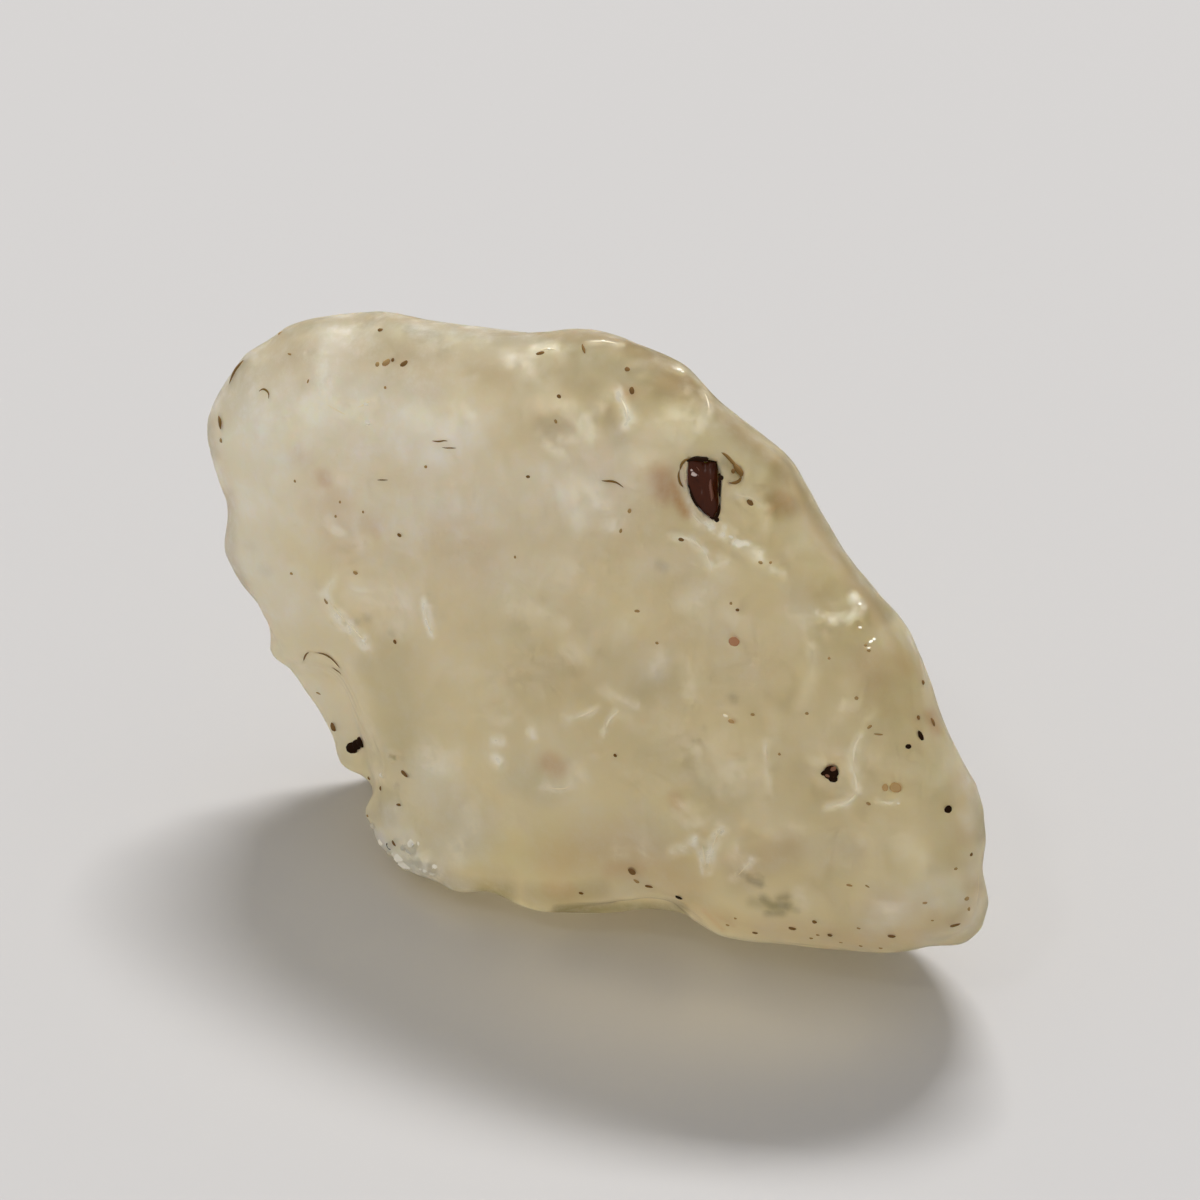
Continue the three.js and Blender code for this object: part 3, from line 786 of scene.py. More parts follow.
# %% Glass: how rough, how clear and how deep it looks
pits = add_node(
    tree, "ShaderNodeTexNoise", (-1200, -600),
    Vector=place, Scale=1 / (0.35 * MM), Detail=3.0, Roughness=0.6,
)
grain = add_node(
    tree, "ShaderNodeBump", (-400, -500), Height=pits.outputs[0], Strength=0.2,
    Distance=0.04 * MM,
)
satin = add_node(
    tree, "ShaderNodeMapRange", (-600, -250),
    Value=flecks.outputs[0], From_Min=0.3, From_Max=0.7, To_Min=0.42, To_Max=0.58,
)
matt = add_node(
    tree, "ShaderNodeMath", (-500, -350), {"operation": "MULTIPLY_ADD"},
    i0=marks_read.outputs[1], i1=0.8, i2=satin.outputs[0],
)
dull = add_node(
    tree, "ShaderNodeMath", (-440, -400), {"operation": "MULTIPLY_ADD", "use_clamp": True},
    i0=kinds.outputs[2], i1=0.8, i2=matt.outputs[0],
)
polish = add_node(
    tree, "ShaderNodeMix", (-400, -250), i0=painted.outputs[0], i2=dull.outputs[0], i3=0.26
)
clear = add_node(tree, "ShaderNodeMix", (-400, -80), i0=white.outputs[0], i2=0.84, i3=0.1)
deep = add_node(
    tree, "ShaderNodeMath", (-400, 60), {"operation": "MULTIPLY_ADD", "use_clamp": True},
    i0=painted.outputs[0], i1=-0.85, i2=1.0,
)

# %% Glass: the shader
surface = add_node(
    tree, "ShaderNodeBsdfPrincipled", (0, 0),
    Base_Color=whitened.outputs[2], Roughness=polish.outputs[0], IOR=1.46,
    Transmission_Weight=clear.outputs[0], Subsurface_Weight=deep.outputs[0],
    Subsurface_Radius=(1.0, 0.8, 0.5), Subsurface_Scale=6 * MM, Normal=grain.outputs[0],
)
inside = add_node(
    tree, "ShaderNodeVolumeAbsorption", (0, -400), Color=srgb("e2cf8c"), Density=19
)
output = add_node(tree, "ShaderNodeOutputMaterial", (300, 0))
tree.links.new(surface.outputs[0], output.inputs["Surface"])
tree.links.new(inside.outputs[0], output.inputs["Volume"])
stone.data.materials.append(glass)

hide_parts("glass")
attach(stone, "root")

# %% [markdown]
# ## Grains, hairs and chips
# Dark iron-stained grains, brown hair cracks and bright chips are held in the skin. They are
# small and sharp, so each is a shape of its own. One lumpy grain is modelled, then copied to
# each place, stretched, turned and pressed in until little more than its face shows. Chips
# are small broken planes, so their model is a six-sided plate. Grains of one kind are joined.


# %% Small things held in the skin
def plain_material(name, code, roughness, **inputs):
    """A material with one plain colour and finish."""
    material = bpy.data.materials.new(name)
    material.use_nodes = True
    finish = material.node_tree.nodes["Principled BSDF"]
    finish.inputs["Base Color"].default_value = srgb(code)
    finish.inputs["Roughness"].default_value = roughness
    for key, value in inputs.items():
        finish.inputs[key.replace("_", " ")].default_value = value
    return material


def uneven(name, lump, seed):
    """Names the shape that was just added and moves each of its corners a little."""
    model = bpy.context.object
    model.name = name
    bpy.ops.object.mode_set(mode="EDIT")
    bpy.ops.mesh.select_all(action="SELECT")
    bpy.ops.transform.vertex_random(offset=lump * MM, seed=seed)
    bpy.ops.mesh.normals_make_consistent(inside=False)
    bpy.ops.object.mode_set(mode="OBJECT")
    return model


def facing_turn(normal, degrees):
    """A turn that lays a grain's Z on the skin's normal and its X across the view."""
    across = (Vector((1, 0, 0)) - normal * normal.x).normalized()
    lay = Matrix((across, normal.cross(across), normal)).transposed()
    return lay.to_4x4() @ Matrix.Rotation(math.radians(degrees), 4, "Z")


def join(pieces, name, material, smooth=True):
    """Joins pieces under one name, with one finish, and lets them ride on the stone's body."""
    bpy.ops.object.select_all(action="DESELECT")
    for piece in pieces:
        piece.select_set(True)
    bpy.context.view_layer.objects.active = pieces[0]
    bpy.ops.object.join()
    joined = bpy.context.object
    joined.name = name
    joined.data.materials.clear()
    joined.data.materials.append(material)
    if smooth:
        bpy.ops.object.shade_smooth()
    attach(joined, "root")
    print(name, "has", len(joined.data.polygons), "faces")
    return joined


THINNEST = 0.05  # mm


def scatter(
    name, rows, model, material, thick, sunk,
    smooth=True, lean=toward_camera, find=seen_point, onto=None,
):
    """Sets a copy of the model at each row's place, with the row's length, width and turn."""
    copies = []
    for first, second, length, width, degrees in rows:
        point, normal = find(onto or skin, first, second)
        normal = (normal + lean).normalized()
        height = max(thick * min(length, width), THINNEST) * MM / 2
        copy = model.copy()
        copy.data = model.data.copy()
        bpy.context.collection.objects.link(copy)
        size = Matrix.Diagonal((length / 2, width / 2, height / MM, 1))
        middle = point - normal * sunk * height
        copy.data.transform(Matrix.Translation(middle) @ facing_turn(normal, degrees) @ size)
        copies.append(copy)
    return join(copies, name, material, smooth)


skin = skin_tree(stone)
bpy.ops.object.select_all(action="DESELECT")
bpy.ops.mesh.primitive_ico_sphere_add(subdivisions=2, radius=MM)
round_model = uneven("grain model", 0.10, 3)
bpy.ops.object.select_all(action="DESELECT")
bpy.ops.mesh.primitive_cylinder_add(vertices=6, radius=MM, depth=2 * MM)
plate_model = uneven("chip model", 0.2, 5)

# %% [markdown]
# Where each grain lies, kind by kind. Those of the front are placed by where they are seen,
# and those of the sides and back are spread about as densely. Beads and froth chips
# belong to the broken corner low on the left, where the glass is full of melted bubbles.

# %% Where they are
# Each row: across, up, length, width in mm, turn in degrees
BLACK_GRAINS = [
    (-11.2, -6.7, 0.8, 0.6, 15), (-11, -6.55, 0.65, 0.55, 25), (-10.85, -6.45, 0.55, 0.6, 20),
    (10.5, -7.8, 0.85, 0.8, 20), (10.2, -7.85, 0.4, 0.3, 10), (10.6, -8.1, 0.5, 0.4, 0),
    (15.8, -9.5, 0.4, 0.4, 0), (14, -6.65, 0.3, 0.25, -10), (14.55, -6.15, 0.25, 0.55, 30),
    (5.3, 3.65, 0.25, 0.25, -20), (5.5, 5.55, 0.25, 0.25, 0), (3.6, -13.5, 0.4, 0.25, -10),
    (-9.6, -11.2, 0.2, 0.4, 40),
]
BROWN_GRAINS = [
    (-10.1, 10.7, 0.25, 0.25, 0), (-9.65, 10.8, 0.6, 0.3, 22), (-11.1, 1.25, 0.25, 0.25, -30),
    (-14, 1.2, 0.2, 0.15, 0), (-7.9, 6.05, 0.2, 0.15, 0), (-9.75, 9.65, 0.15, 0.15, 0),
    (-11.8, 4.45, 0.15, 0.15, 0), (-10.75, 4, 0.15, 0.15, 0), (-13.85, 5.4, 0.15, 0.15, 0),
    (-12, 3.8, 0.15, 0.15, 0), (-3.85, 1.95, 0.15, 0.15, 0), (-13.25, 9.95, 0.25, 0.1, 60),
    (-12.45, -0.05, 0.15, 0.35, 25), (1.35, 4.05, 0.2, 0.25, -30), (0.95, 3.15, 0.15, 0.25, -20),
    (7.3, 1.7, 0.25, 0.15, -20), (5.95, -0.15, 0.15, 0.15, 0), (2.6, -1.95, 0.2, 0.15, 0),
    (1.7, -0.5, 0.3, 0.15, 0), (9.4, -5.15, 0.2, 0.15, 0), (11.65, -4.45, 0.2, 0.2, 0),
    (8.15, -7, 0.15, 0.15, 0), (6.95, -5.2, 0.25, 0.15, 0), (10.4, -2.65, 0.15, 0.15, 0),
    (12.05, -2.05, 0.2, 0.15, 30), (12.2, -2.3, 0.2, 0.15, 0), (9.6, -15.35, 0.2, 0.15, 20),
    (9.9, -15.2, 0.2, 0.15, 20), (10.95, -15.55, 0.2, 0.1, 0), (11.75, -14.9, 0.2, 0.15, 0),
    (11.85, -15.7, 0.2, 0.15, 0), (12.75, -15.8, 0.2, 0.15, 0), (14.75, -13.75, 0.25, 0.15, 0),
    (15.1, -14.55, 0.15, 0.1, 0), (16.65, -13.55, 0.25, 0.25, 0), (16.75, -14, 0.15, 0.3, 10),
    (16.15, -12.2, 0.2, 0.15, 0), (11.35, -12.95, 0.35, 0.15, 0), (12.15, -13, 0.25, 0.1, -25),
    (5.8, -14.75, 0.2, 0.15, 0), (6.15, -14.45, 0.15, 0.15, 0), (7.75, 1.7, 0.15, 0.15, 0),
    (-17.2, 7.25, 0.2, 0.25, 0), (-14.65, 12.25, 0.3, 0.15, 10), (12.25, -5.75, 0.3, 0.15, 40),
    (12.65, -6.1, 0.45, 0.1, -5), (1.65, -12.75, 0.35, 0.2, -40), (12.2, -9.25, 0.25, 0.15, -20),
    (-10.55, -9.8, 0.15, 0.15, 0), (-14.05, 11.15, 0.35, 0.1, -20),
    (-12.75, -4.25, 0.35, 0.1, -15), (-2, 8.1, 0.15, 0.25, 30),
]
ORANGE_GRAINS = [
    (6.1, -1.85, 0.55, 0.55, 0),
]
UMBER_GRAINS = [
    (-12.1, -5.75, 0.35, 0.5, 10), (-3.25, 5.6, 0.25, 0.15, 0), (-9.3, -1.9, 0.25, 0.2, -30),
    (-8.85, -7.9, 0.5, 0.25, -30), (-9.1, -9.3, 0.35, 0.15, 0), (-9.95, -8.55, 0.2, 0.25, 0),
    (0.7, -7.05, 0.2, 0.2, 0), (-8.85, 10.75, 0.55, 0.25, 22), (-9.4, 10.9, 0.2, 0.2, 20),
    (-9.95, 12.25, 0.35, 0.2, -20), (14.45, -5.35, 0.2, 0.25, 0), (10.65, -7.65, 0.25, 0.2, 0),
    (2.25, -13, 0.45, 0.2, 0), (-0.85, -13.3, 0.25, 0.2, 0), (6.8, 4.45, 0.25, 0.45, 40),
    (3.7, 2.75, 0.3, 0.2, 0), (1.25, 10.45, 0.25, 0.35, 30), (1.45, 9.5, 0.25, 0.4, 10),
    (6.05, 5.85, 0.2, 0.25, 0), (-2.7, 11.2, 0.45, 0.2, 10), (-1.85, 9.25, 0.25, 0.2, -10),
    (8.75, -14.9, 0.4, 0.25, 0), (9.75, -14.6, 0.25, 0.25, 30), (10.45, -15.2, 0.25, 0.25, 0),
    (7.05, -15.1, 0.3, 0.2, 0), (13.25, -15.25, 0.4, 0.25, 0), (16.15, -14.75, 0.55, 0.2, 20),
    (16.85, -11.55, 0.2, 0.2, 0), (14.65, -3.75, 0.25, 0.25, 0), (-9.1, 2.95, 0.25, 0.2, -20),
    (6.25, -0.45, 0.2, 0.15, 0), (-9.35, -11.05, 0.2, 0.35, 40), (1.45, -12.3, 0.35, 0.5, 30),
    (-10.7, -8.25, 0.2, 0.2, 0), (15.1, -5.55, 0.25, 0.45, 25),
]
BEADS = [
    (-8.55, -11.25, 0.7, 0.7, 0), (-9.15, -11.7, 0.45, 0.4, 0), (-8.95, -12.2, 0.7, 0.45, -20),
    (-7.6, -12.25, 0.5, 0.45, 0), (-10.5, -10.45, 0.35, 0.35, 0), (-10.05, -11.15, 0.3, 0.4, 20),
    (-9.5, -11.15, 0.4, 0.4, 0), (-8.95, -11.25, 0.35, 0.35, 0), (-8.2, -12, 0.45, 0.4, 0),
    (-7.95, -12.35, 0.35, 0.3, 0), (-9.25, -10.9, 0.3, 0.3, 0), (-8.55, -11.85, 0.35, 0.35, 0),
    (-9.65, -11.6, 0.35, 0.3, 0), (-9.8, -7.9, 0.35, 0.4, 0), (-9.45, -7.2, 0.4, 0.55, 0),
    (-9.2, -8.45, 0.4, 0.4, 0),
]
FROTH_CHIPS = [
    (-10.5, -10.45, 0.25, 0.25, 0), (-10.05, -11.1, 0.25, 0.35, 20), (-9.1, -11.7, 0.55, 0.45, 0),
    (-8.55, -11.05, 0.35, 0.5, -40), (-8.65, -11.4, 0.4, 0.25, 0), (-8.95, -12.15, 0.7, 0.4, -20),
    (-9.3, -11.95, 0.25, 0.2, -30), (-7.5, -12.1, 0.25, 0.25, 0), (-7.6, -12.4, 0.3, 0.25, 0),
    (-9.9, -7.95, 0.25, 0.25, 0), (-8.95, -11.25, 0.2, 0.25, 0), (-7.95, -12.3, 0.2, 0.2, 0),
    (-8.25, -11.05, 0.1, 0.25, 0), (-9.5, -11.65, 0.15, 0.2, 0), (-8.15, -12.2, 0.15, 0.15, 0),
    (-7.75, -1.25, 0.1, 0.2, 0), (-10.75, -1.85, 0.2, 0.1, -30),
]
TAN_GRAINS = [
    (13.45, -8.5, 0.65, 0.55, 0), (12.95, -8.5, 0.3, 0.4, 10), (6, -5.5, 0.4, 0.25, 0),
]
CHIPS = [
    (-10.55, 8.05, 0.3, 0.35, 0), (5.7, -5.25, 0.25, 0.2, -30), (11.8, -1.25, 0.2, 0.15, -30),
    (12.3, -1.9, 0.25, 0.15, 40), (12.45, -1.8, 0.15, 0.15, 0), (12.2, -2.2, 0.15, 0.1, 0),
    (3.6, 10.45, 0.25, 0.15, -15), (3.75, 10.35, 0.15, 0.1, 0), (-10.6, 8.9, 0.3, 0.2, 10),
    (11.8, -0.2, 0.15, 0.15, 0), (5.95, 2.85, 0.25, 0.15, -30), (-2.3, 11.4, 0.2, 0.1, 0),
    (0.15, 11.75, 0.2, 0.1, 0), (13.55, -9.25, 0.15, 0.1, 0),
]

# Each row: heading and pitch in degrees, length and width in mm, turn in degrees
UMBER_BEHIND = [
    (82, 14, 0.6, 0.45, 20), (96, 27, 0.3, 0.25, 0), (113, -6, 0.8, 0.65, 40),
    (128, 16, 0.35, 0.2, -30), (61, -11, 0.3, 0.3, 0), (88, -22, 0.45, 0.3, 10),
    (146, -14, 0.3, 0.25, 0), (40, 4, 0.5, 0.3, 60), (26, -9, 0.3, 0.25, 0),
    (101, 44, 0.35, 0.25, -20), (72, 54, 0.3, 0.2, 0), (122, 61, 0.4, 0.25, 30),
    (8, -3, 0.35, 0.25, 0), (95, -52, 0.5, 0.35, 10), (58, -62, 0.3, 0.3, 0),
    (332, -50, 0.5, 0.3, -10), (352, 12, 0.3, 0.2, 30), (136, -36, 0.3, 0.25, 0),
    (110, 30, 0.25, 0.2, 0),
]
BROWN_BEHIND = [
    (70, 22, 0.25, 0.2, 0), (78, -6, 0.3, 0.15, 30), (104, 12, 0.25, 0.2, 0),
    (118, 34, 0.3, 0.2, -20), (134, -3, 0.25, 0.15, 10), (52, 12, 0.25, 0.2, 0),
    (92, 50, 0.3, 0.15, 40), (98, -30, 0.25, 0.2, 0), (120, -28, 0.4, 0.15, 0),
    (124, -29, 0.3, 0.15, 10), (72, -30, 0.3, 0.2, -10), (34, 18, 0.25, 0.2, 0),
    (18, 20, 0.3, 0.15, 60), (142, 6, 0.25, 0.2, 0), (86, 38, 0.2, 0.2, 0),
    (44, -20, 0.25, 0.2, 0), (12, -14, 0.3, 0.15, 10), (250, -70, 0.25, 0.2, 0),
    (20, -55, 0.3, 0.2, 0), (107, 1, 0.2, 0.15, 0), (65, 38, 0.25, 0.15, 0),
]
TAN_BEHIND = [
    (90, -2, 0.7, 0.6, 0), (126, 28, 0.5, 0.45, 0), (55, 26, 0.45, 0.4, 0),
    (150, -20, 0.5, 0.4, 20), (75, -16, 0.3, 0.3, 0),
]

# %% [markdown]
# Iron has soaked into the dull grains, nearly black, umber or brown, and the round tan and
# orange ones are cristobalite. They hardly mirror, so that their colours hold in the shade.
# A chip shines only if it faces half way between the eye and a light, so chips are laid that
# way: the white ones mirror the window, and those of the broken corner mirror the lamp.

# %% Grains and chips
black = plain_material("black iron-stained grain", "28170c", 0.8, Specular_IOR_Level=0.05)
umber = plain_material("umber iron stain", "80603a", 0.8, Specular_IOR_Level=0.05)
brown = plain_material("brown iron stain", "ae9060", 0.7, Specular_IOR_Level=0.1)
orange = plain_material("orange cristobalite", "b8825a", 0.6)
tan = plain_material("tan cristobalite", "be9a62", 0.5)
clear_glass = plain_material(
    "clear melted froth", "ffffff", 0.04, IOR=1.46, Transmission_Weight=1.0
)
white = plain_material("bright chipped glass", "fbf6e6", 0.55)
GLINT_WAY = Vector((0.07, -0.19, 0.98))
GLEAM_WAY = Vector((-0.15, -0.68, 0.72))
STRICTNESS = 8  # how much a chip follows its way, against 1 for the skin
FLAT = Vector((0, 0, 0))
scatter("black_grains", BLACK_GRAINS, round_model, black, 0.6, 0.3)
scatter("umber_grains", UMBER_GRAINS, round_model, umber, 0.5, 0.3)
scatter("brown_grains", BROWN_GRAINS, round_model, brown, 0.5, 0.3)
scatter("orange_grains", ORANGE_GRAINS, round_model, orange, 0.3, 0.3)
scatter("tan_grains", TAN_GRAINS, round_model, tan, 0.3, 0.3)
scatter("umber_behind", UMBER_BEHIND, round_model, umber, 0.4, 0.3, lean=FLAT, find=outer_point)
scatter("brown_behind", BROWN_BEHIND, round_model, brown, 0.4, 0.3, lean=FLAT, find=outer_point)
scatter("tan_behind", TAN_BEHIND, round_model, tan, 0.3, 0.3, lean=FLAT, find=outer_point)
scatter("clear_beads", BEADS, round_model, clear_glass, 0.8, 0.2)
scatter("white_chips", CHIPS, plate_model, white, 0.3, -0.6, False, STRICTNESS * GLINT_WAY)
scatter("froth_chips", FROTH_CHIPS, plate_model, white, 0.3, -0.6, False, STRICTNESS * GLEAM_WAY)

# %% [markdown]
# The hairs are thin brown cracks that iron has stained, and the threads are the sharp white
# edges of lips, where the glass is crushed; on the lips their white also paints the highlight.
# Paint would blur them. So each is a path through five places on the skin, given a round
# section that thins out at both ends and half sunk.

# %% Hairs and threads
# Each row: half the thickness in mm, and five places, as across and up in mm
DARK_HAIRS = [
    (0.13, [(4, 6.3), (4.25, 6.4), (4.65, 6.4), (4.95, 6.35), (5.3, 6.25)]),
    (0.1, [(5.25, 6.25), (5.35, 6), (5.45, 5.7), (5.45, 5), (5.45, 4.4)]),
    (0.09, [(5.45, 4.7), (5.45, 4.25), (5.35, 3.85), (5.2, 3.65), (4.9, 3.75)]),
    (0.07, [(5, 3.7), (4.65, 4.05), (4.3, 4.4), (4.05, 5), (4, 5.5)]),
]
THREADS = [
    (0.07, [(17.2, -12.35), (17.2, -13), (17.05, -13.75), (16.75, -14.45), (16.15, -15.2)]),
    (0.05, [(4.05, 4.15), (4.25, 3.8), (4.45, 3.6), (4.7, 3.4), (4.9, 3.25)]),
    (0.05, [(3.25, 2.95), (3.65, 2.85), (4, 2.75), (4.35, 2.55), (4.65, 2.25)]),
    (0.04, [(-12.15, 0.85), (-12.4, 0.35), (-12.25, -0.15), (-11.9, -0.65), (-11.5, -1.05)]),
    (0.06, [(-11.6, -0.95), (-11.25, -1.25), (-11, -1.6), (-10.75, -1.8), (-10.55, -2.05)]),
    (0.08, [(-8, -0.2), (-8, -0.5), (-7.85, -0.8), (-7.75, -1.2), (-7.65, -1.5)]),
    (0.06, [(3.25, 2.9), (3.75, 2.9), (4.2, 2.75), (4.55, 2.45), (4.8, 2)]),
    (0.05, [(4.75, 2.15), (4.9, 1.85), (5, 1.6), (5.05, 1.35), (5.1, 1.15)]),
    (0.07, [(11.85, -6.15), (11.7, -6.4), (11.55, -6.75), (11.5, -7.1), (11.5, -7.45)]),
    (0.08, [(11.5, -7.35), (11.5, -7.75), (11.6, -8.15), (11.65, -8.5), (11.65, -8.8)]),
    (0.07, [(11.7, -8.7), (11.45, -9.05), (11.15, -9.25), (10.75, -9.35), (10.35, -9.4)]),
    (0.07, [(-0.9, 11.75), (-0.4, 11.75), (0.1, 11.75), (0.6, 11.7), (1.05, 11.6)]),
    (0.07, [(0.85, 9.3), (1, 9), (1.15, 8.7), (1.25, 8.35), (1.25, 8.05)]),
    (0.05, [(-3, 11.25), (-2.7, 11.35), (-2.35, 11.45), (-2.15, 11.4), (-1.9, 11.35)]),
    (0.04, [(4.7, 9.55), (4.8, 9.3), (4.9, 9.05), (4.95, 8.75), (4.95, 8.5)]),
    (0.05, [(5.95, 4.75), (6.35, 4.75), (6.75, 4.7), (7.1, 4.5), (7.4, 4.25)]),
    (0.05, [(-1.35, -5.55), (-1.05, -5.35), (-0.7, -5.2), (-0.35, -5.05), (-0.05, -4.9)]),
    (0.05, [(0.2, -6.05), (0.25, -5.75), (0.45, -5.4), (0.7, -5.15), (0.95, -4.95)]),
    (0.04, [(5.55, -10.35), (5.25, -10.8), (5.1, -11.3), (5, -11.75), (4.95, -12.2)]),
    (0.06, [(4.8, -12.2), (4.75, -11.8), (4.7, -11.45), (4.6, -11.15), (4.5, -10.8)]),
    (0.04, [(6.15, -12.65), (6.35, -12.4), (6.6, -12.15), (6.75, -11.95), (6.95, -11.8)]),
    (0.04, [(-2.5, -8.45), (-2.2, -8.55), (-1.85, -8.6), (-1.55, -8.55), (-1.25, -8.4)]),
    (0.04, [(-12.45, 8.9), (-12.2, 8.75), (-11.9, 8.6), (-11.65, 8.45), (-11.3, 8.35)]),
    (0.04, [(-11.05, 8.75), (-10.85, 8.8), (-10.7, 8.9), (-10.5, 9), (-10.35, 9.05)]),
    (0.06, [(12.75, -9.1), (12.9, -9.2), (13.1, -9.25), (13.25, -9.25), (13.45, -9.1)]),
    (0.04, [(7.45, -6.45), (7.55, -7.05), (7.65, -7.65), (7.7, -8.2), (7.7, -8.75)]),
]
HAIRS = [
    (0.19, [(-16.05, 11.05), (-16.25, 10.8), (-16.55, 10.45), (-16.75, 10.05), (-16.95, 9.6)]),
    (0.07, [(-15.6, 9.35), (-15.4, 9.6), (-15.15, 9.55), (-15, 9.3), (-15.1, 9)]),
    (0.15, [(-17.35, 8.5), (-17.3, 8.25), (-17.25, 8.1), (-17.25, 7.85), (-17.2, 7.65)]),
    (0.07, [(-0.15, 5.45), (0.2, 5.4), (0.55, 5.4), (0.85, 5.3), (1.2, 5)]),
    (0.09, [(-0.8, 11.75), (-0.8, 11.55), (-0.75, 11.4), (-0.7, 11.25), (-0.65, 11.15)]),
    (0.06, [(-13.5, -2.85), (-13.45, -2.7), (-13.4, -2.55), (-13.3, -2.4), (-13.15, -2.35)]),
    (0.08, [(-13, -2.4), (-12.65, -2.4), (-12.25, -2.6), (-12, -2.85), (-11.75, -3.2)]),
    (0.07, [(-12.25, -3.05), (-12.1, -3.1), (-11.95, -3.2), (-11.8, -3.3), (-11.7, -3.5)]),
    (0.1, [(5.4, 6.75), (5.65, 6.65), (5.9, 6.4), (6.2, 6.05), (6.4, 5.75)]),
    (0.19, [(5.95, 6.3), (6.15, 6.1), (6.3, 5.9), (6.45, 5.7), (6.35, 5.45)]),
    (0.1, [(6.45, 5.75), (6.4, 5.5), (6.25, 5.35), (6, 5.3), (5.75, 5.35)]),
    (0.05, [(-7.7, 7.25), (-7.5, 7.2), (-7.25, 7.2), (-7.05, 7.25), (-6.85, 7.2)]),
    (0.04, [(-7.25, 6.95), (-7.05, 6.9), (-6.8, 6.9), (-6.65, 6.9), (-6.45, 6.9)]),
    (0.04, [(-10.2, 5.45), (-10.05, 5.45), (-9.9, 5.45), (-9.75, 5.45), (-9.55, 5.45)]),
    (0.09, [(4.2, 6.45), (3.95, 6.4), (3.75, 6.25), (3.65, 6.05), (3.6, 5.75)]),
    (0.08, [(3.65, 6.05), (3.55, 5.75), (3.6, 5.4), (3.7, 5.2), (3.85, 5.05)]),
]


def trace(name, rows, material, sunk, onto=None):
    """Thin round threads through five places each on the skin, thinner towards their ends."""
    threads = []
    for thickness, stroke in rows:
        bpy.ops.object.select_all(action="DESELECT")
        bpy.ops.curve.primitive_nurbs_path_add()
        thread = bpy.context.object
        path = thread.data.splines[0]
        path.order_u = 3
        for place, corner, share in zip(stroke, path.points, (0.3, 0.8, 1.0, 0.8, 0.3)):
            point, normal = seen_point(onto or skin, *place)
            corner.co = (*(point - normal * thickness * sunk * MM), 1)
            corner.radius = share
        thread.data.bevel_depth = thickness * MM
        thread.data.bevel_resolution = 2
        thread.data.use_fill_caps = True
        bpy.ops.object.convert(target="MESH")
        threads.append(bpy.context.object)
    return join(threads, name, material)


hair_finish = plain_material("iron-stained hair crack", "80602f", 0.6, Specular_IOR_Level=0.2)
trace("brown_hairs", HAIRS, hair_finish, 0.5)
trace("black_hairs", DARK_HAIRS, black, 0.5)
# white threads: crushed glass, and on the lips painted highlight
thread_finish = plain_material("white crushed lip and painted highlight", "f9eed0", 0.35)
trace("white_threads", THREADS, thread_finish, 0.45)

# %% [markdown]
# The cavity is filled with a red-brown grain with a glassy break. It is the same block as the
# cutter, a little smaller and set a little deeper, with ridges down its face. A light streak down
# one ridge, a pale arc and two light flecks are painted highlights on it. The round dark grain
# on the right shows brown hearts the same way.

# %% The grain in the cavity
PLUG_RELIEF = [
    (5.0, 5.7, 0.35, 0.15), (5.05, 5.3, 0.35, 0.15), (5.1, 4.9, 0.3, 0.15), (5.1, 4.5, 0.3, 0.12),
    (4.5, 5.5, 0.4, -0.2), (4.6, 5.0, 0.35, -0.15), (4.75, 4.5, 0.3, -0.1), (5.35, 5.2, 0.25, -0.15),
    (5.35, 4.7, 0.25, -0.15), (4.3, 5.85, 0.2, 0.12), (4.75, 6.2, 0.3, -0.2), (5.2, 6.1, 0.25, -0.15),
]
# painted highlights: a light streak down a ridge of the grain, and a pale arc
GRAIN_HIGHLIGHTS = [
    (0.1, [(5.02, 5.6), (5.04, 5.25), (5.07, 4.95), (5.09, 4.6), (5.08, 4.2)]),
    (0.05, [(4.1, 6), (4.27, 6.1), (4.45, 5.98), (4.53, 5.75), (4.42, 5.55)]),
]
GRAIN_HEARTS = [
    (10.6, -7.65, 0.3, 0.2, 30), (10.35, -7.95, 0.25, 0.2, 0), (10.6, -8, 0.15, 0.12, 0),
]
# painted glints on the grain
GRAIN_GLINTS = [
    (4.27, 5.72, 0.32, 0.22, -15), (4.17, 5.9, 0.14, 0.12, 0),
]
plug = cavity_block("cavity_grain", -0.3, 1.25, 0.97)
sculpt_seen(plug, PLUG_RELIEF)
ridge_tree = skin_tree(plug)
plug_finish = plain_material("red-brown ironstone", "4e210a", 0.25, Specular_IOR_Level=0.2)
join([plug], "cavity_grain", plug_finish)
# the next two finishes are a painted highlight and a painted glint
highlight_streak_finish = plain_material("painted highlight on the ironstone", "7a4a36", 0.3)
trace("grain_highlights", GRAIN_HIGHLIGHTS, highlight_streak_finish, 0.6, ridge_tree)
glint_finish = plain_material("painted glint on the ironstone", "e6d0c6", 0.4)
spot_finish = plain_material("brown heart of a grain", "8a5a3e", 0.5)
scatter("grain_hearts", GRAIN_HEARTS, round_model, spot_finish, 0.6, -1.6)
scatter("grain_glints", GRAIN_GLINTS, round_model, glint_finish, 0.4, 0.2, onto=ridge_tree)

for model in (round_model, plate_model):
    bpy.data.objects.remove(model)

# %% [markdown]
# ## Table and light
# A plain matt table. Its paper is a light grey and the light is strong, rather than the other
# way round: the stone's front face is in shade, lit mainly by the table, and over a whiter
# table its white marks and shining chips would hardly stand out.

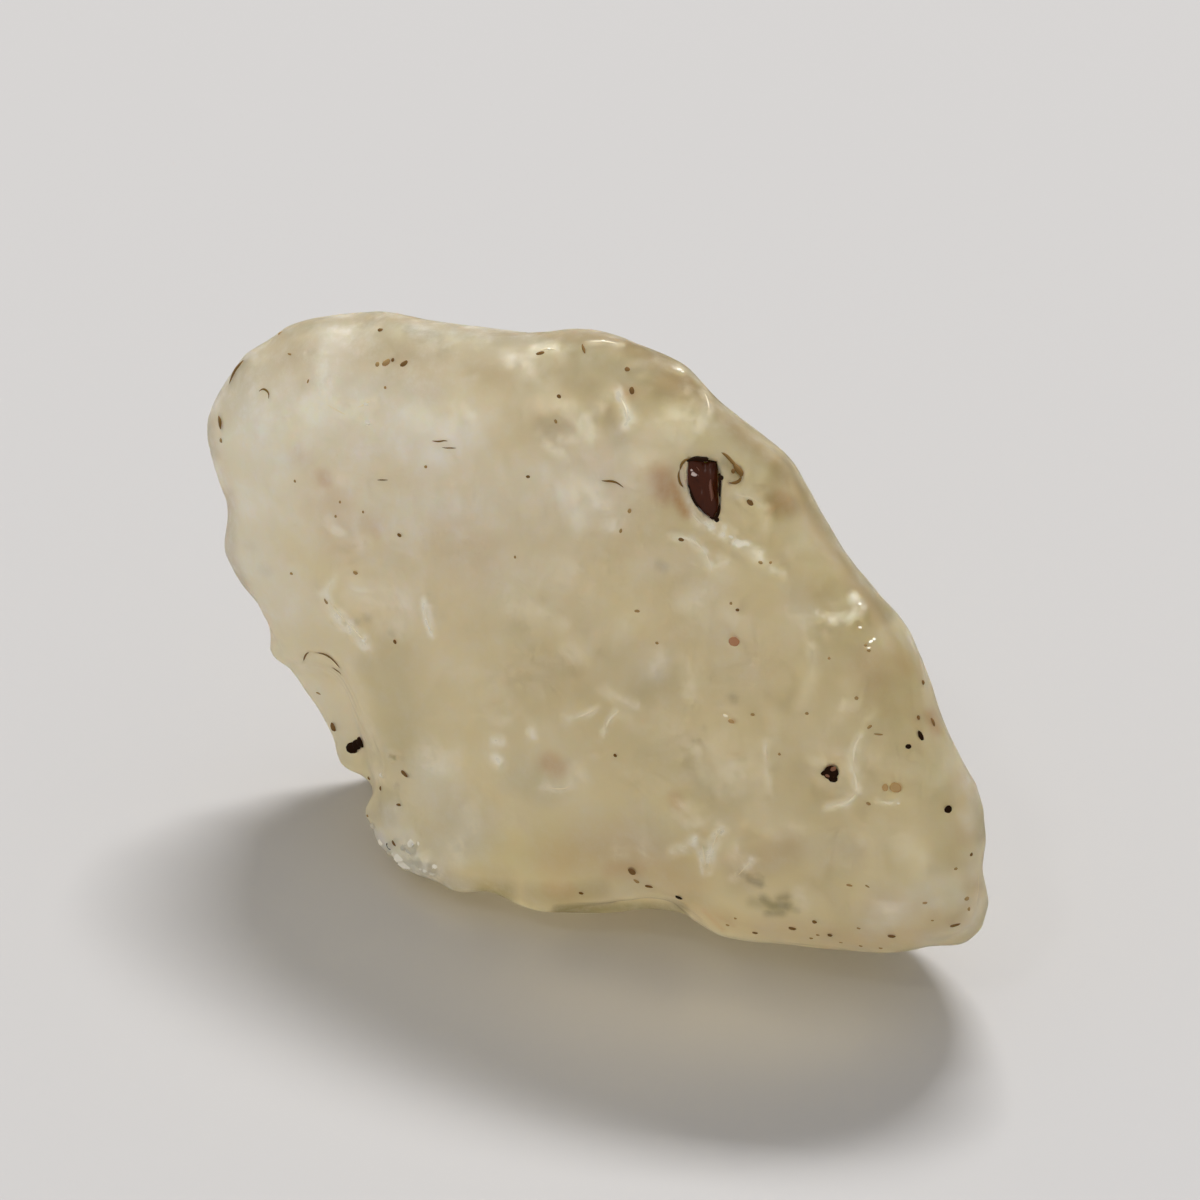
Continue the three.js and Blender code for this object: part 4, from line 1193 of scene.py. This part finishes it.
# %% Table
bpy.ops.mesh.primitive_circle_add(vertices=96, radius=2.0, fill_type="NGON")
table = bpy.context.object
table.name = "table"
table.data.materials.append(plain_material("matt light grey paper", "bdbbba", 0.8))

# %% [markdown]
# One broad window, high behind the stone and a little to its right. Light from behind is what
# makes the glass glow, and it throws the shadow towards the eye. Its width gives the shadow
# soft sides and its lesser height a firmer front edge.

# %% Window
LIGHT_ELEVATION = math.radians(56)
LIGHT_AZIMUTH = math.radians(10)
LIGHT_DISTANCE = 3.0
LIGHT_WIDTH = 1.22
LIGHT_HEIGHT = 0.36
LIGHT_POWER = 77
to_light = Vector((
    math.sin(LIGHT_AZIMUTH) * math.cos(LIGHT_ELEVATION),
    math.cos(LIGHT_AZIMUTH) * math.cos(LIGHT_ELEVATION),
    math.sin(LIGHT_ELEVATION),
))


def area_light(name, way, size, power):
    """A square light that stands out along a way and shines back on the stone."""
    turn = way.to_track_quat("Z", "Y").to_euler()
    bpy.ops.object.light_add(type="AREA", location=way * LIGHT_DISTANCE, rotation=turn)
    light = bpy.context.object
    light.name = name
    light.data.size = size
    light.data.energy = power
    return light


window = area_light("window light", to_light, LIGHT_WIDTH, LIGHT_POWER)
window.data.shape = "RECTANGLE"
window.data.size_y = LIGHT_HEIGHT

# %% [markdown]
# A small far lamp in front. It is too weak to light the stone, but the chips of the broken
# corner mirror it, as they would any small bright thing in a room.

# %% Lamp
LAMP_SIZE = 0.25
LAMP_POWER = 4
lamp_way = (2 * GLEAM_WAY * GLEAM_WAY.dot(toward_camera) - toward_camera).normalized()
area_light("lamp", lamp_way, LAMP_SIZE, LAMP_POWER)

# %% [markdown]
# The rest of the room sends an even, nearly white light from all sides. It fills the shadow
# and gives the skin its soft sheen.

# %% Light of the room
ROOM_BRIGHTNESS = 0.575
world = bpy.data.worlds.new("room light")
bpy.context.scene.world = world
world.use_nodes = True
background = world.node_tree.nodes["Background"]
background.inputs["Color"].default_value = srgb("f5f4f3")
background.inputs["Strength"].default_value = ROOM_BRIGHTNESS
bpy.context.scene.view_settings.view_transform = "Standard"

# %% [markdown]

# %% Finish
bpy.context.view_layer.update()
